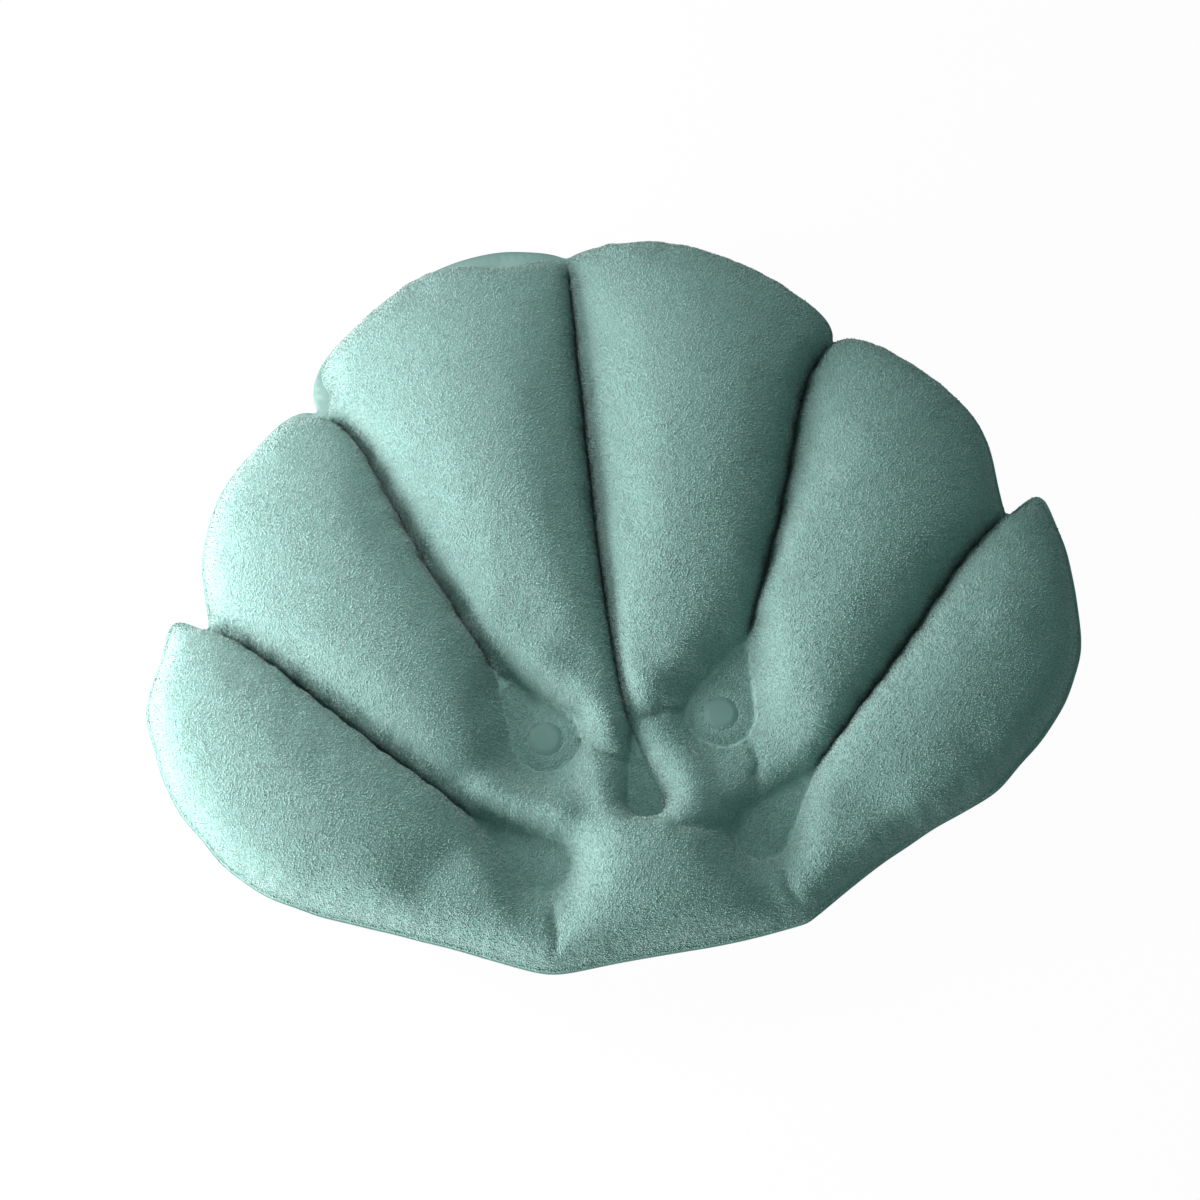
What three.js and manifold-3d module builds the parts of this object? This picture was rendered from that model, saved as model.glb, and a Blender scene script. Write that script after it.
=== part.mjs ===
// Inflatable bath pillow in the shape of a scallop shell.
// A front film with a terry facing and a plain back film are welded together round the rim, along five lines that
// fan out from the base, and in a drop-shaped spot at the inner end of each line. Two suction cups button through
// welded spots, and a push-in valve with a plug and a check flap sits on the back.
// Millimetres, +Z up. The pillow lies on its back: X runs across it, Y from its base to the crown of the shell.
import * as THREE from "three";
import { mergeVertices } from "three/addons/utils/BufferGeometryUtils.js";
import Module from "manifold-3d";

const wasm = await Module();
wasm.setup();

// Plan of the shell, right half. Angles are degrees from +X about the middle of the base edge.
const BASE_WIDTH = 118;
const BASE_BOW = 1;
const OUTER_WELD_ANGLE = 44.5;
const OUTER_WELD_REACH = 262;
const OUTER_WELD_BOW = 3;
const CUP_WELD_ANGLE = 66.8;
const CUP_WELD_REACH = 308;
const CUP_WELD_BOW = 6;
const CENTRE_WELD_REACH = 345;
const SHOULDER_LOBE_BULGE = 24;
const CROWN_LOBE_BULGE = 29;
const SIDE_ROOT_ANGLE = 13.4;
const SIDE_ROOT_REACH = 111.5;
const SIDE_LOW_ANGLE = 17.3;
const SIDE_LOW_REACH = 175;
const SIDE_MIDDLE_ANGLE = 24.7;
const SIDE_MIDDLE_REACH = 228.5;
const SIDE_END_ANGLE = 33.1;
const SIDE_END_REACH = 258;
const SIDE_SHOULDER_ANGLE = 39.5;
const SIDE_SHOULDER_REACH = 270;
const SIDE_TIP_ANGLE = 43.4;
const SIDE_TIP_REACH = 275;

// How gently the lobes leave the rim at each weld: the higher, the gentler.
const OUTER_NOTCH_EASE = 1.2;
const CUP_NOTCH_EASE = 0.45;
const CENTRE_NOTCH_EASE = 0.75;

// Welds: how wide the rim's seam is, and how near the rim a line's bow is.
const SEAM_WIDTH = 3;
const BOW_LATENESS = 3.2;

// Drop-shaped welded spots: where the round end lies, its radius, and how far on and which way the point is.
const OUTER_SPOT_ANGLE = 44.5;
const OUTER_SPOT_REACH = 70;
const OUTER_SPOT_RADIUS = 13;
const OUTER_SPOT_LENGTH = 40;
const OUTER_SPOT_LEAN = 43;
const CUP_SPOT_ANGLE = 69.5;
const CUP_SPOT_REACH = 116;
const CUP_SPOT_RADIUS = 16;
const CUP_SPOT_LENGTH = 40;
const CUP_SPOT_LEAN = 63;
const CENTRE_SPOT_REACH = 72;
const CENTRE_SPOT_RADIUS = 9;
const CENTRE_SPOT_LENGTH = 36;

// Inflation: height of a lobe over half its width, in front and behind.
const FRONT_PLUMPNESS = 0.86;
const BACK_PLUMPNESS = 0.68;
const FLOOR_PRESS = 4;
const FLAT_HALF_WIDTH = 70;
const SIDE_RISE = 9;

// Sheets and the gap left between pieces that touch.
const FILM_THICKNESS = 0.5;
const TERRY_THICKNESS = 1.6;
const TOUCH_GAP = 0.3;

// Suction cups
const CUP_RADIUS = 22;
const CUP_DEPTH = 13;
const CUP_WALL = 2.2;
const CUP_LIP_WIDTH = 2.4;
const CUP_LIP_HEIGHT = 1;
const CUP_SHANK_RADIUS = 6.5;
const CUP_NECK_RADIUS = 3.6;
const CUP_HEAD_RADIUS = 8.2;
const CUP_HEAD_THICKNESS = 1.6;
const NECK_CLEARANCE = 0.4;
const PATCH_RADIUS = 14.2;
const PATCH_THICKNESS = 1.2;

// Valve
const VALVE_REACH = 31;
const FLANGE_RADIUS = 11.5;
const FLANGE_THICKNESS = 1.2;
const STEM_RADIUS = 4.5;
const STEM_BORE_RADIUS = 2.9;
const STEM_DEPTH = 9;
const STEM_CLEARANCE = 0.4;
const STEM_LIP_RADIUS = 6.5;
const STEM_LIP_THICKNESS = 1;
const STEM_COLLAR_RADIUS = 5.8;
const STEM_COLLAR_THICKNESS = 1.2;
const PLUG_CAP_RADIUS = 6.5;
const PLUG_CAP_THICKNESS = 1.8;
const PLUG_PIN_RADIUS = 2.5;
const PLUG_PIN_TIP_RADIUS = 1.9;
const PLUG_PIN_LENGTH = 3.5;
const STRAP_WIDTH = 4.5;
const STRAP_THICKNESS = 0.8;
const STRAP_REACH = 2.6;
const FLAP_THICKNESS = 0.6;
const FLAP_RADIUS = 4.8;
const FLAP_HINGE_REACH = 4;

// Mesh: spacing of the points of the plan, and of the rows beside a weld.
const EDGE_STEP = 18.5;
const SPOT_STEP = 8;
const FIRST_ROW = 5;
const SECOND_ROW = 15;
const FILL_STEP = 25.5;
const ROUND_SIDES = 24;
const RELAXATION = 1.7;
const RELAXATION_ROUNDS = 500;

const TERRY = new THREE.MeshStandardMaterial({ color: 0x7fb3a5, roughness: 0.95, metalness: 0 });
const FILM = new THREE.MeshStandardMaterial({ color: 0x6fa396, roughness: 0.5, metalness: 0 });
const CLEAR_VINYL = new THREE.MeshStandardMaterial({ color: 0x9fc7bc, roughness: 0.25, metalness: 0 });

const UP = new THREE.Vector3(0, 0, 1);

function polar(angle, reach) {
  const turn = THREE.MathUtils.degToRad(angle);
  return new THREE.Vector2(reach * Math.cos(turn), reach * Math.sin(turn));
}

function mirrored(p) {
  return new THREE.Vector2(-p.x, p.y);
}

// The outline of the trimmed sheets, anticlockwise, as far as the crown of the shell and then mirrored.
const baseCorner = new THREE.Vector2(BASE_WIDTH / 2, 0);
const outerRim = polar(OUTER_WELD_ANGLE, OUTER_WELD_REACH);
const cupRim = polar(CUP_WELD_ANGLE, CUP_WELD_REACH);
const centreRim = polar(90, CENTRE_WELD_REACH);

// Points from a to b, without b, on an edge that swells out by bulge and leaves each end by its own ease.
function scallop(a, b, bulge, easeA, easeB) {
  const outward = new THREE.Vector2(b.y - a.y, a.x - b.x).normalize();
  const count = Math.round(a.distanceTo(b) / EDGE_STEP);
  return Array.from({ length: count }, (_, i) => {
    const across = (2 * i) / count - 1;
    const ease = THREE.MathUtils.lerp(easeA, easeB, i / count);
    const swell = bulge * (1 - across ** 2) ** ease;
    return a.clone().lerp(b, i / count).addScaledVector(outward, swell);
  });
}

function baseEdge() {
  const count = Math.round(BASE_WIDTH / 2 / EDGE_STEP);
  return Array.from({ length: count }, (_, i) => {
    const along = i / count;
    return new THREE.Vector2(along * baseCorner.x, -BASE_BOW * (1 - along ** 2));
  });
}

function sideEdge() {
  const curve = new THREE.SplineCurve([
    baseCorner,
    polar(SIDE_ROOT_ANGLE, SIDE_ROOT_REACH),
    polar(SIDE_LOW_ANGLE, SIDE_LOW_REACH),
    polar(SIDE_MIDDLE_ANGLE, SIDE_MIDDLE_REACH),
    polar(SIDE_END_ANGLE, SIDE_END_REACH),
    polar(SIDE_SHOULDER_ANGLE, SIDE_SHOULDER_REACH),
    polar(SIDE_TIP_ANGLE, SIDE_TIP_REACH),
    outerRim,
  ]);
  const count = Math.round(curve.getLength() / EDGE_STEP);
  return curve.getSpacedPoints(count).slice(0, -1);
}

const rightOutline = [
  ...baseEdge(),
  ...sideEdge(),
  ...scallop(outerRim, cupRim, SHOULDER_LOBE_BULGE, OUTER_NOTCH_EASE, CUP_NOTCH_EASE),
  ...scallop(cupRim, centreRim, CROWN_LOBE_BULGE, CUP_NOTCH_EASE, CENTRE_NOTCH_EASE),
];
const outline = [...rightOutline, centreRim, ...rightOutline.slice(1).reverse().map(mirrored)];
const halfSpan = Math.max(...outline.map((p) => p.x));

// Each welded line starts at the point of its drop-shaped spot, bows towards the crown and ends at the rim.
function weld(rim, bow, centre, spotRadius, spotLength, lean) {
  const tip = polar(lean, spotLength).add(centre);
  const end = rim.clone().setLength(rim.length() - SEAM_WIDTH);
  const angle = THREE.MathUtils.radToDeg(end.clone().sub(tip).angle());
  return { tip, end, angle, bow, centre, spotRadius, spotLength, lean };
}

const outerSpot = polar(OUTER_SPOT_ANGLE, OUTER_SPOT_REACH);
const cupSpot = polar(CUP_SPOT_ANGLE, CUP_SPOT_REACH);
const centreSpot = polar(90, CENTRE_SPOT_REACH);
const rightWelds = [
  weld(outerRim, OUTER_WELD_BOW, outerSpot, OUTER_SPOT_RADIUS, OUTER_SPOT_LENGTH, OUTER_SPOT_LEAN),
  weld(cupRim, CUP_WELD_BOW, cupSpot, CUP_SPOT_RADIUS, CUP_SPOT_LENGTH, CUP_SPOT_LEAN),
];
const centreWeld = weld(centreRim, 0, centreSpot, CENTRE_SPOT_RADIUS, CENTRE_SPOT_LENGTH, 90);
const welds = [...rightWelds, centreWeld];
const valveCentre = new THREE.Vector2(0, VALVE_REACH);

// Outline of a drop: a round end about the centre and a point further along the weld.
function dropOutline({ centre, lean, spotRadius, spotLength }, grow = 0) {
  const radius = spotRadius + grow;
  const tangent = THREE.MathUtils.radToDeg(Math.acos(spotRadius / spotLength));
  const arc = 360 - 2 * tangent;
  const count = Math.max(6, Math.round((THREE.MathUtils.degToRad(arc) * radius) / SPOT_STEP));
  const round = Array.from({ length: count + 1 }, (_, i) =>
    polar(lean + tangent + (arc * i) / count, radius).add(centre),
  );
  const tip = polar(lean, spotLength + grow).add(centre);
  const side = Math.max(1, Math.round(round[0].distanceTo(tip) / SPOT_STEP / 1.5) - 1);
  const flank = (from, to) =>
    Array.from({ length: side }, (_, i) => from.clone().lerp(to, (i + 1) / (side + 1)));
  return [...round, ...flank(round[count], tip), tip, ...flank(tip, round[0])];
}

function ring(centre, radius, count) {
  return Array.from({ length: count }, (_, i) => polar((360 * i) / count, radius).add(centre));
}

// Points of the plan. A welded point holds the sheets together, and a pad point lies on the valve's flat seat.
const plan = [];
function place(p, kind, room) {
  const onAxis = Math.abs(p.x) < room / 2;
  const spots = onAxis ? [new THREE.Vector2(0, p.y)] : [p, mirrored(p)];
  for (const at of spots) {
    if (plan.every((q) => q.at.distanceTo(at) >= room)) plan.push({ at, kind });
  }
}

function insideOutline(p) {
  let inside = false;
  outline.forEach((a, i) => {
    const b = outline[(i + 1) % outline.length];
    const crosses = a.y > p.y !== b.y > p.y;
    if (crosses && p.x < a.x + ((p.y - a.y) * (b.x - a.x)) / (b.y - a.y)) inside = !inside;
  });
  return inside;
}

// The outline's points moved straight in by a distance.
function inset(distance) {
  return outline.map((p, i) => {
    const before = outline[(i + outline.length - 1) % outline.length];
    const after = outline[(i + 1) % outline.length];
    const along = after.clone().sub(before).normalize();
    return new THREE.Vector2(p.x - along.y * distance, p.y + along.x * distance);
  });
}

function weldLine({ tip, end, angle, bow }) {
  const count = Math.round(tip.distanceTo(end) / EDGE_STEP);
  return Array.from({ length: count }, (_, i) => {
    const along = (i + 0.5) / count;
    const aside = bow * Math.sin(Math.PI * along ** BOW_LATENESS);
    return tip.clone().lerp(end, along).add(polar(angle + 90, aside));
  });
}

function besideWeld(line, distance) {
  return weldLine(line).flatMap((p) =>
    [-1, 1].map((side) => polar(line.angle + 90 * side, distance).add(p)),
  );
}

const MERGED = 1;
outline.forEach((p) => place(p, "welded", MERGED));
inset(SEAM_WIDTH).forEach((p) => place(p, "welded", MERGED));
for (const line of welds) {
  weldLine(line).forEach((p) => place(p, "welded", MERGED));
  dropOutline(line).forEach((p) => place(p, "welded", MERGED));
  place(line.centre, "welded", MERGED);
}
ring(valveCentre, FLANGE_RADIUS + 1, 10).forEach((p) => place(p, "pad", MERGED));
place(valveCentre, "pad", MERGED);
for (const row of [FIRST_ROW, SECOND_ROW]) {
  const room = row * 0.85;
  welds.forEach((line) => besideWeld(line, row).forEach((p) => place(p, "free", room)));
  welds.forEach((line) => dropOutline(line, row).forEach((p) => place(p, "free", room)));
  inset(SEAM_WIDTH + row).forEach((p) => place(p, "free", room));
}
const fillRow = FILL_STEP * Math.sqrt(0.75);
for (let j = 0; j * fillRow < CENTRE_WELD_REACH + CROWN_LOBE_BULGE; j++) {
  for (let i = 0; i * FILL_STEP < halfSpan; i++) {
    const p = new THREE.Vector2((i + (j % 2) / 2) * FILL_STEP, j * fillRow);
    if (insideOutline(p)) place(p, "free", FILL_STEP * 0.62);
  }
}

// Triangles of the plan whose circles hold no other point, anticlockwise.
function triangulate(points) {
  const far = 1e5;
  const corners = [
    new THREE.Vector2(-far, -far),
    new THREE.Vector2(far, -far),
    new THREE.Vector2(0, far),
  ];
  const all = [...points, ...corners];
  const holds = ([a, b, c], p) => {
    const [u, v, w] = [all[a], all[b], all[c]].map((q) => q.clone().sub(p));
    const lift = (q) => q.lengthSq();
    const turn = lift(u) * v.cross(w) - lift(v) * u.cross(w) + lift(w) * u.cross(v);
    return turn > 0;
  };
  let triangles = [[points.length, points.length + 1, points.length + 2]];
  points.forEach((p, index) => {
    const opened = triangles.filter((t) => holds(t, p));
    const rim = new Map();
    for (const [a, b, c] of opened) {
      for (const [from, to] of [[a, b], [b, c], [c, a]]) {
        if (!rim.delete(`${to} ${from}`)) rim.set(`${from} ${to}`, [from, to, index]);
      }
    }
    triangles = [...triangles.filter((t) => !opened.includes(t)), ...rim.values()];
  });
  return triangles.filter((t) => {
    if (t.some((i) => i >= points.length)) return false;
    const middle = t.reduce((sum, i) => sum.add(all[i]), new THREE.Vector2()).divideScalar(3);
    return insideOutline(middle);
  });
}

// A little unevenness keeps the triangulation from meeting four points on one circle.
const UNEVENNESS = 0.02;
const planPoints = plan.map(
  ({ at }, i) =>
    new THREE.Vector2(at.x + UNEVENNESS * Math.sin(12.9 * i), at.y + UNEVENNESS * Math.cos(7.7 * i)),
);
const triangles = triangulate(planPoints);

// Height of the inflated sheet over half its width, at each point: a membrane under pressure, held at the welds.
function inflate() {
  const links = planPoints.map(() => new Map());
  const load = planPoints.map(() => 0);
  for (const [a, b, c] of triangles) {
    for (const [from, to, across] of [[a, b, c], [b, c, a], [c, a, b]]) {
      const u = planPoints[from].clone().sub(planPoints[across]);
      const v = planPoints[to].clone().sub(planPoints[across]);
      const stiffness = u.dot(v) / u.cross(v) / 2;
      links[from].set(to, (links[from].get(to) ?? 0) + stiffness);
      links[to].set(from, (links[to].get(from) ?? 0) + stiffness);
      load[across] += u.cross(v) / 6;
    }
  }
  const potential = planPoints.map(() => 0);
  for (let round = 0; round < RELAXATION_ROUNDS; round++) {
    plan.forEach(({ kind }, i) => {
      if (kind === "welded") return;
      let pull = load[i];
      let total = 0;
      for (const [j, stiffness] of links[i]) {
        pull += stiffness * potential[j];
        total += stiffness;
      }
      potential[i] += RELAXATION * (pull / total - potential[i]);
    });
  }
  const height = potential.map((value) => Math.sqrt(2 * Math.max(0, value)));
  const seat = Math.max(...height.filter((_, i) => plan[i].kind === "pad"));
  return height.map((value, i) => (plan[i].kind === "pad" ? seat : value));
}

const swell = inflate();
const seatSwell = swell[plan.findIndex(({ kind }) => kind === "pad")];

// Height of the welds above the floor: the back lobes are pressed flat where they lie on it.
const backReach = Math.max(...swell) * BACK_PLUMPNESS + FILM_THICKNESS + TOUCH_GAP / 2;
const weldHeight = backReach - FLOOR_PRESS;

function restingHeight(x) {
  const outside = Math.max(0, Math.abs(x) - FLAT_HALF_WIDTH);
  return weldHeight + SIDE_RISE * (outside / (halfSpan - FLAT_HALF_WIDTH)) ** 2;
}

// The inner face of the front film (side 1) or back film (side -1), and the way that each of its points thickens.
function innerFace(side, plumpness) {
  const points = planPoints.map(
    (p, i) =>
      new THREE.Vector3(p.x, p.y, restingHeight(p.x) + side * (TOUCH_GAP / 2 + plumpness * swell[i])),
  );
  const ways = points.map(() => new THREE.Vector3());
  for (const [a, b, c] of triangles) {
    const u = points[b].clone().sub(points[a]);
    const v = points[c].clone().sub(points[a]);
    const normal = u.cross(v).multiplyScalar(side);
    for (const i of [a, b, c]) ways[i].add(normal);
  }
  plan.forEach(({ kind }, i) => {
    if (kind === "free") ways[i].normalize();
    else ways[i].copy(UP).multiplyScalar(side);
  });
  return { side, points, ways };
}

// A closed sheet between two distances from an inner face, never lower than the floor.
function sheetGeometry({ side, points, ways }, near, far) {
  const layer = (distance, lowest) =>
    points.map((p, i) => {
      const q = p.clone().addScaledVector(ways[i], distance);
      return new THREE.Vector3(q.x, q.y, Math.max(q.z, lowest));
    });
  const vertices = [...layer(far, 0), ...layer(near, far - near)];
  const count = points.length;
  const edges = new Map();
  const index = [];
  for (const [a, b, c] of triangles) {
    const outer = side > 0 ? [a, b, c] : [c, b, a];
    index.push(...outer, ...outer.map((i) => i + count).reverse());
    for (const [from, to] of [[outer[0], outer[1]], [outer[1], outer[2]], [outer[2], outer[0]]]) {
      if (!edges.delete(`${to} ${from}`)) edges.set(`${from} ${to}`, [from, to]);
    }
  }
  for (const [from, to] of edges.values()) {
    index.push(to, from, from + count, to, from + count, to + count);
  }
  return new THREE.BufferGeometry().setFromPoints(vertices).setIndex(index);
}

function solidOf(geometry) {
  const bare = geometry.clone();
  bare.deleteAttribute("normal");
  bare.deleteAttribute("uv");
  const merged = mergeVertices(bare);
  return new wasm.Manifold(
    new wasm.Mesh({
      numProp: 3,
      vertProperties: merged.attributes.position.array,
      triVerts: new Uint32Array(merged.index.array),
    }),
  );
}

function geometryOf(solid) {
  const mesh = solid.getMesh();
  return new THREE.BufferGeometry()
    .setAttribute("position", new THREE.BufferAttribute(mesh.vertProperties, 3))
    .setIndex(new THREE.BufferAttribute(mesh.triVerts, 1));
}

// A drill for an upright hole through every sheet.
function drill(centre, radius) {
  const height = 8 * weldHeight;
  return solidOf(
    new THREE.CylinderGeometry(radius, radius, height, ROUND_SIDES)
      .rotateX(Math.PI / 2)
      .translate(centre.x, centre.y, 0),
  );
}

const neckHole = CUP_NECK_RADIUS + NECK_CLEARANCE;
const cupSpots = { left: mirrored(cupSpot), right: cupSpot };

function sheet(name, material, face, near, far, extraHoles = []) {
  const holes = [...Object.values(cupSpots).map((c) => drill(c, neckHole)), ...extraHoles];
  const solid = holes.reduce((left, hole) => left.subtract(hole), solidOf(sheetGeometry(face, near, far)));
  return named(name, geometryOf(solid), material);
}

function named(name, geometry, material) {
  const mesh = new THREE.Mesh(geometry, material);
  mesh.name = name;
  return mesh;
}

// A turned piece about +Z, from its profile of radius and height, which runs from the axis down the outside.
function turned(name, profile, material) {
  const points = profile.map(([radius, height]) => new THREE.Vector2(radius, height));
  const geometry = new THREE.LatheGeometry(points.reverse(), ROUND_SIDES).rotateX(Math.PI / 2);
  return named(name, geometry, material);
}

const frontFace = innerFace(1, FRONT_PLUMPNESS);
const backFace = innerFace(-1, BACK_PLUMPNESS);
const terryStart = FILM_THICKNESS + TOUCH_GAP;
const frontDepth = terryStart + TERRY_THICKNESS;
const stemHole = STEM_RADIUS + STEM_CLEARANCE;

const pillow = new THREE.Group();
pillow.add(
  sheet("front_terry", TERRY, frontFace, terryStart, frontDepth),
  sheet("front_film", FILM, frontFace, 0, FILM_THICKNESS),
  sheet("back_film", FILM, backFace, 0, FILM_THICKNESS, [drill(valveCentre, stemHole)]),
);

// Reinforcing patch behind a cup's welded spot.
const patchTop = weldHeight - TOUCH_GAP / 2 - FILM_THICKNESS - TOUCH_GAP;
const patchBottom = patchTop - PATCH_THICKNESS;
function patch(name) {
  return turned(
    name,
    [
      [neckHole, patchTop],
      [PATCH_RADIUS, patchTop],
      [PATCH_RADIUS, patchBottom],
      [neckHole, patchBottom],
      [neckHole, patchTop],
    ],
    CLEAR_VINYL,
  );
}

// Suction cup: button head in front, neck through the spot, shank and bell behind, lip on the floor plane.
const headBottom = weldHeight + TOUCH_GAP / 2 + frontDepth + TOUCH_GAP;
const headTop = headBottom + CUP_HEAD_THICKNESS;
const shankTop = patchBottom - TOUCH_GAP;
function suctionCup(name) {
  const bellSteps = 5;
  const bell = (radius, base, height, rootRadius) =>
    Array.from({ length: bellSteps + 1 }, (_, i) => {
      const turn = (Math.PI / 2) * (i / bellSteps);
      return [
        rootRadius + (radius - rootRadius) * Math.sin(turn),
        base + (height - base) * Math.cos(turn),
      ];
    });
  const hollowRadius = CUP_RADIUS - CUP_LIP_WIDTH;
  const hollowTop = CUP_DEPTH - CUP_WALL;
  return turned(
    name,
    [
      [0, headTop],
      [CUP_HEAD_RADIUS - CUP_HEAD_THICKNESS / 2, headTop],
      [CUP_HEAD_RADIUS, headTop - CUP_HEAD_THICKNESS / 2],
      [CUP_HEAD_RADIUS, headBottom],
      [CUP_NECK_RADIUS, headBottom],
      [CUP_NECK_RADIUS, shankTop],
      [CUP_SHANK_RADIUS, shankTop],
      ...bell(CUP_RADIUS, CUP_LIP_HEIGHT, CUP_DEPTH, CUP_SHANK_RADIUS),
      [CUP_RADIUS, 0],
      [hollowRadius, 0],
      ...bell(hollowRadius, CUP_LIP_HEIGHT, hollowTop, 0).reverse(),
    ],
    CLEAR_VINYL,
  );
}

for (const [hand, centre] of Object.entries(cupSpots)) {
  const cupGroup = new THREE.Group();
  cupGroup.position.set(centre.x, centre.y, 0);
  cupGroup.add(patch(`cup_patch_${hand}`), suctionCup(`suction_cup_${hand}`));
  pillow.add(cupGroup);
}

// Valve, about its own axis: height 0 is the outer face of the flat seat on the back film.
const valve = new THREE.Group();
const seatHeight = weldHeight - TOUCH_GAP / 2 - BACK_PLUMPNESS * seatSwell - FILM_THICKNESS;
valve.position.set(valveCentre.x, valveCentre.y, seatHeight);

const flangeTop = -TOUCH_GAP;
const flangeBottom = flangeTop - FLANGE_THICKNESS;
const lipTop = flangeBottom - TOUCH_GAP;
const lipBottom = lipTop - STEM_LIP_THICKNESS;
const capTop = lipBottom - TOUCH_GAP;
const capBottom = capTop - PLUG_CAP_THICKNESS;
valve.add(
  turned(
    "valve_flange",
    [
      [stemHole, flangeTop],
      [FLANGE_RADIUS, flangeTop],
      [FLANGE_RADIUS, flangeBottom],
      [stemHole, flangeBottom],
      [stemHole, flangeTop],
    ],
    CLEAR_VINYL,
  ),
  turned(
    "valve_stem",
    [
      [STEM_BORE_RADIUS, STEM_DEPTH],
      [STEM_COLLAR_RADIUS, STEM_DEPTH],
      [STEM_COLLAR_RADIUS, STEM_DEPTH - STEM_COLLAR_THICKNESS],
      [STEM_RADIUS, STEM_DEPTH - STEM_COLLAR_THICKNESS],
      [STEM_RADIUS, lipTop],
      [STEM_LIP_RADIUS, lipTop],
      [STEM_LIP_RADIUS, lipBottom],
      [STEM_BORE_RADIUS, lipBottom],
      [STEM_BORE_RADIUS, STEM_DEPTH],
    ],
    CLEAR_VINYL,
  ),
  turned(
    "valve_plug",
    [
      [0, capTop + PLUG_PIN_LENGTH],
      [PLUG_PIN_TIP_RADIUS, capTop + PLUG_PIN_LENGTH],
      [PLUG_PIN_RADIUS, capTop],
      [PLUG_CAP_RADIUS, capTop],
      [PLUG_CAP_RADIUS, capBottom],
      [0, capBottom],
    ],
    CLEAR_VINYL,
  ),
  valveStrap(),
  checkFlap(),
);
pillow.add(valve);

// Strap that ties the plug to the stem's lip: a loop bent out to one side.
function valveStrap() {
  const upper = (lipTop + lipBottom) / 2;
  const lower = (capTop + capBottom) / 2;
  const start = STEM_LIP_RADIUS + TOUCH_GAP;
  const bend = (upper - lower) / 2;
  const outerBend = bend + STRAP_THICKNESS / 2;
  const innerBend = bend - STRAP_THICKNESS / 2;
  const middle = (upper + lower) / 2;
  const elbow = start + STRAP_REACH - bend;
  const profile = new THREE.Shape()
    .moveTo(start, middle + outerBend)
    .lineTo(elbow, middle + outerBend)
    .absarc(elbow, middle, outerBend, Math.PI / 2, -Math.PI / 2, true)
    .lineTo(start, middle - outerBend)
    .lineTo(start, middle - innerBend)
    .lineTo(elbow, middle - innerBend)
    .absarc(elbow, middle, innerBend, -Math.PI / 2, Math.PI / 2, false)
    .lineTo(start, middle + innerBend)
    .closePath();
  const geometry = new THREE.ExtrudeGeometry(profile, {
    depth: STRAP_WIDTH,
    bevelEnabled: false,
    curveSegments: 6,
  });
  geometry.translate(0, 0, -STRAP_WIDTH / 2).rotateX(Math.PI / 2);
  return named("valve_strap", geometry, CLEAR_VINYL);
}

// Flap that closes the inner end of the stem under the air's own pressure, straight along its hinge.
function checkFlap() {
  const hingeTurn = Math.acos(-FLAP_HINGE_REACH / FLAP_RADIUS);
  const outlineOfFlap = new THREE.Shape().absarc(0, 0, FLAP_RADIUS, -hingeTurn, hingeTurn, false).closePath();
  const geometry = new THREE.ExtrudeGeometry(outlineOfFlap, {
    depth: FLAP_THICKNESS,
    bevelEnabled: false,
    curveSegments: 10,
  });
  geometry.translate(0, 0, STEM_DEPTH + TOUCH_GAP);
  return named("valve_check_flap", geometry, CLEAR_VINYL);
}

// The origin is on the floor, under the middle of the pillow's footprint.
pillow.updateMatrixWorld(true);
const footprint = new THREE.Box3().setFromObject(pillow);
pillow.position.y = -(footprint.min.y + footprint.max.y) / 2;

export default pillow;
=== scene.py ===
"""Looks of an inflatable bath pillow in the shape of a scallop shell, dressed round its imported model.

Two sheets are welded together round the rim, along five fanned lines and round five drop-shaped spots, and are then
blown up. The front is faced with terry loops, the back is plain film. Two suction cups button through welded spots,
and a push-in valve sits on the back. Plan sizes are in millimetres, and everything in the scene is in metres.
"""

from __future__ import annotations

import logging  # noqa: E402
import math  # noqa: E402
from dataclasses import dataclass, field  # noqa: E402
from enum import Enum  # noqa: E402
from typing import Any, Sequence  # noqa: E402

import bmesh  # noqa: E402
import bpy  # noqa: E402
import numpy as np  # noqa: E402
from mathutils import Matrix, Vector  # noqa: E402
from mathutils.geometry import delaunay_2d_cdt  # noqa: E402


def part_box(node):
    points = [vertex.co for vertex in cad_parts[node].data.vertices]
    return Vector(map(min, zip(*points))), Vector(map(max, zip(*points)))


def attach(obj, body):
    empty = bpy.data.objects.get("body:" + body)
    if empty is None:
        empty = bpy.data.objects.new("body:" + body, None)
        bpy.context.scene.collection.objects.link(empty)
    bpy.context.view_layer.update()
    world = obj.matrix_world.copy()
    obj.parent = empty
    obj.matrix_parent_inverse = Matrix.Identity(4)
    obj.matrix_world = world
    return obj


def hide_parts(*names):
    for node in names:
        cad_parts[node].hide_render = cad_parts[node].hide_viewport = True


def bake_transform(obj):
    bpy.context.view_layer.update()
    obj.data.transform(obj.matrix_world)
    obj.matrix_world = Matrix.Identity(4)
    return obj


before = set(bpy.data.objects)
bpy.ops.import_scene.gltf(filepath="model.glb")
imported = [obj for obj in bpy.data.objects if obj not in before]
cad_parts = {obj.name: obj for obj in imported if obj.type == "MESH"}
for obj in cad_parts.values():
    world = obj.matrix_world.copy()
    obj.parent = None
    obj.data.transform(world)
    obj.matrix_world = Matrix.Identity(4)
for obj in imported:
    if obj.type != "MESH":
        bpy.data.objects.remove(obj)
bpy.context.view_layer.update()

MM = 0.001
LOG = logging.getLogger("bath_pillow")

Colour = tuple[float, float, float, float]
Profile = Sequence[tuple[float, float]]

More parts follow.
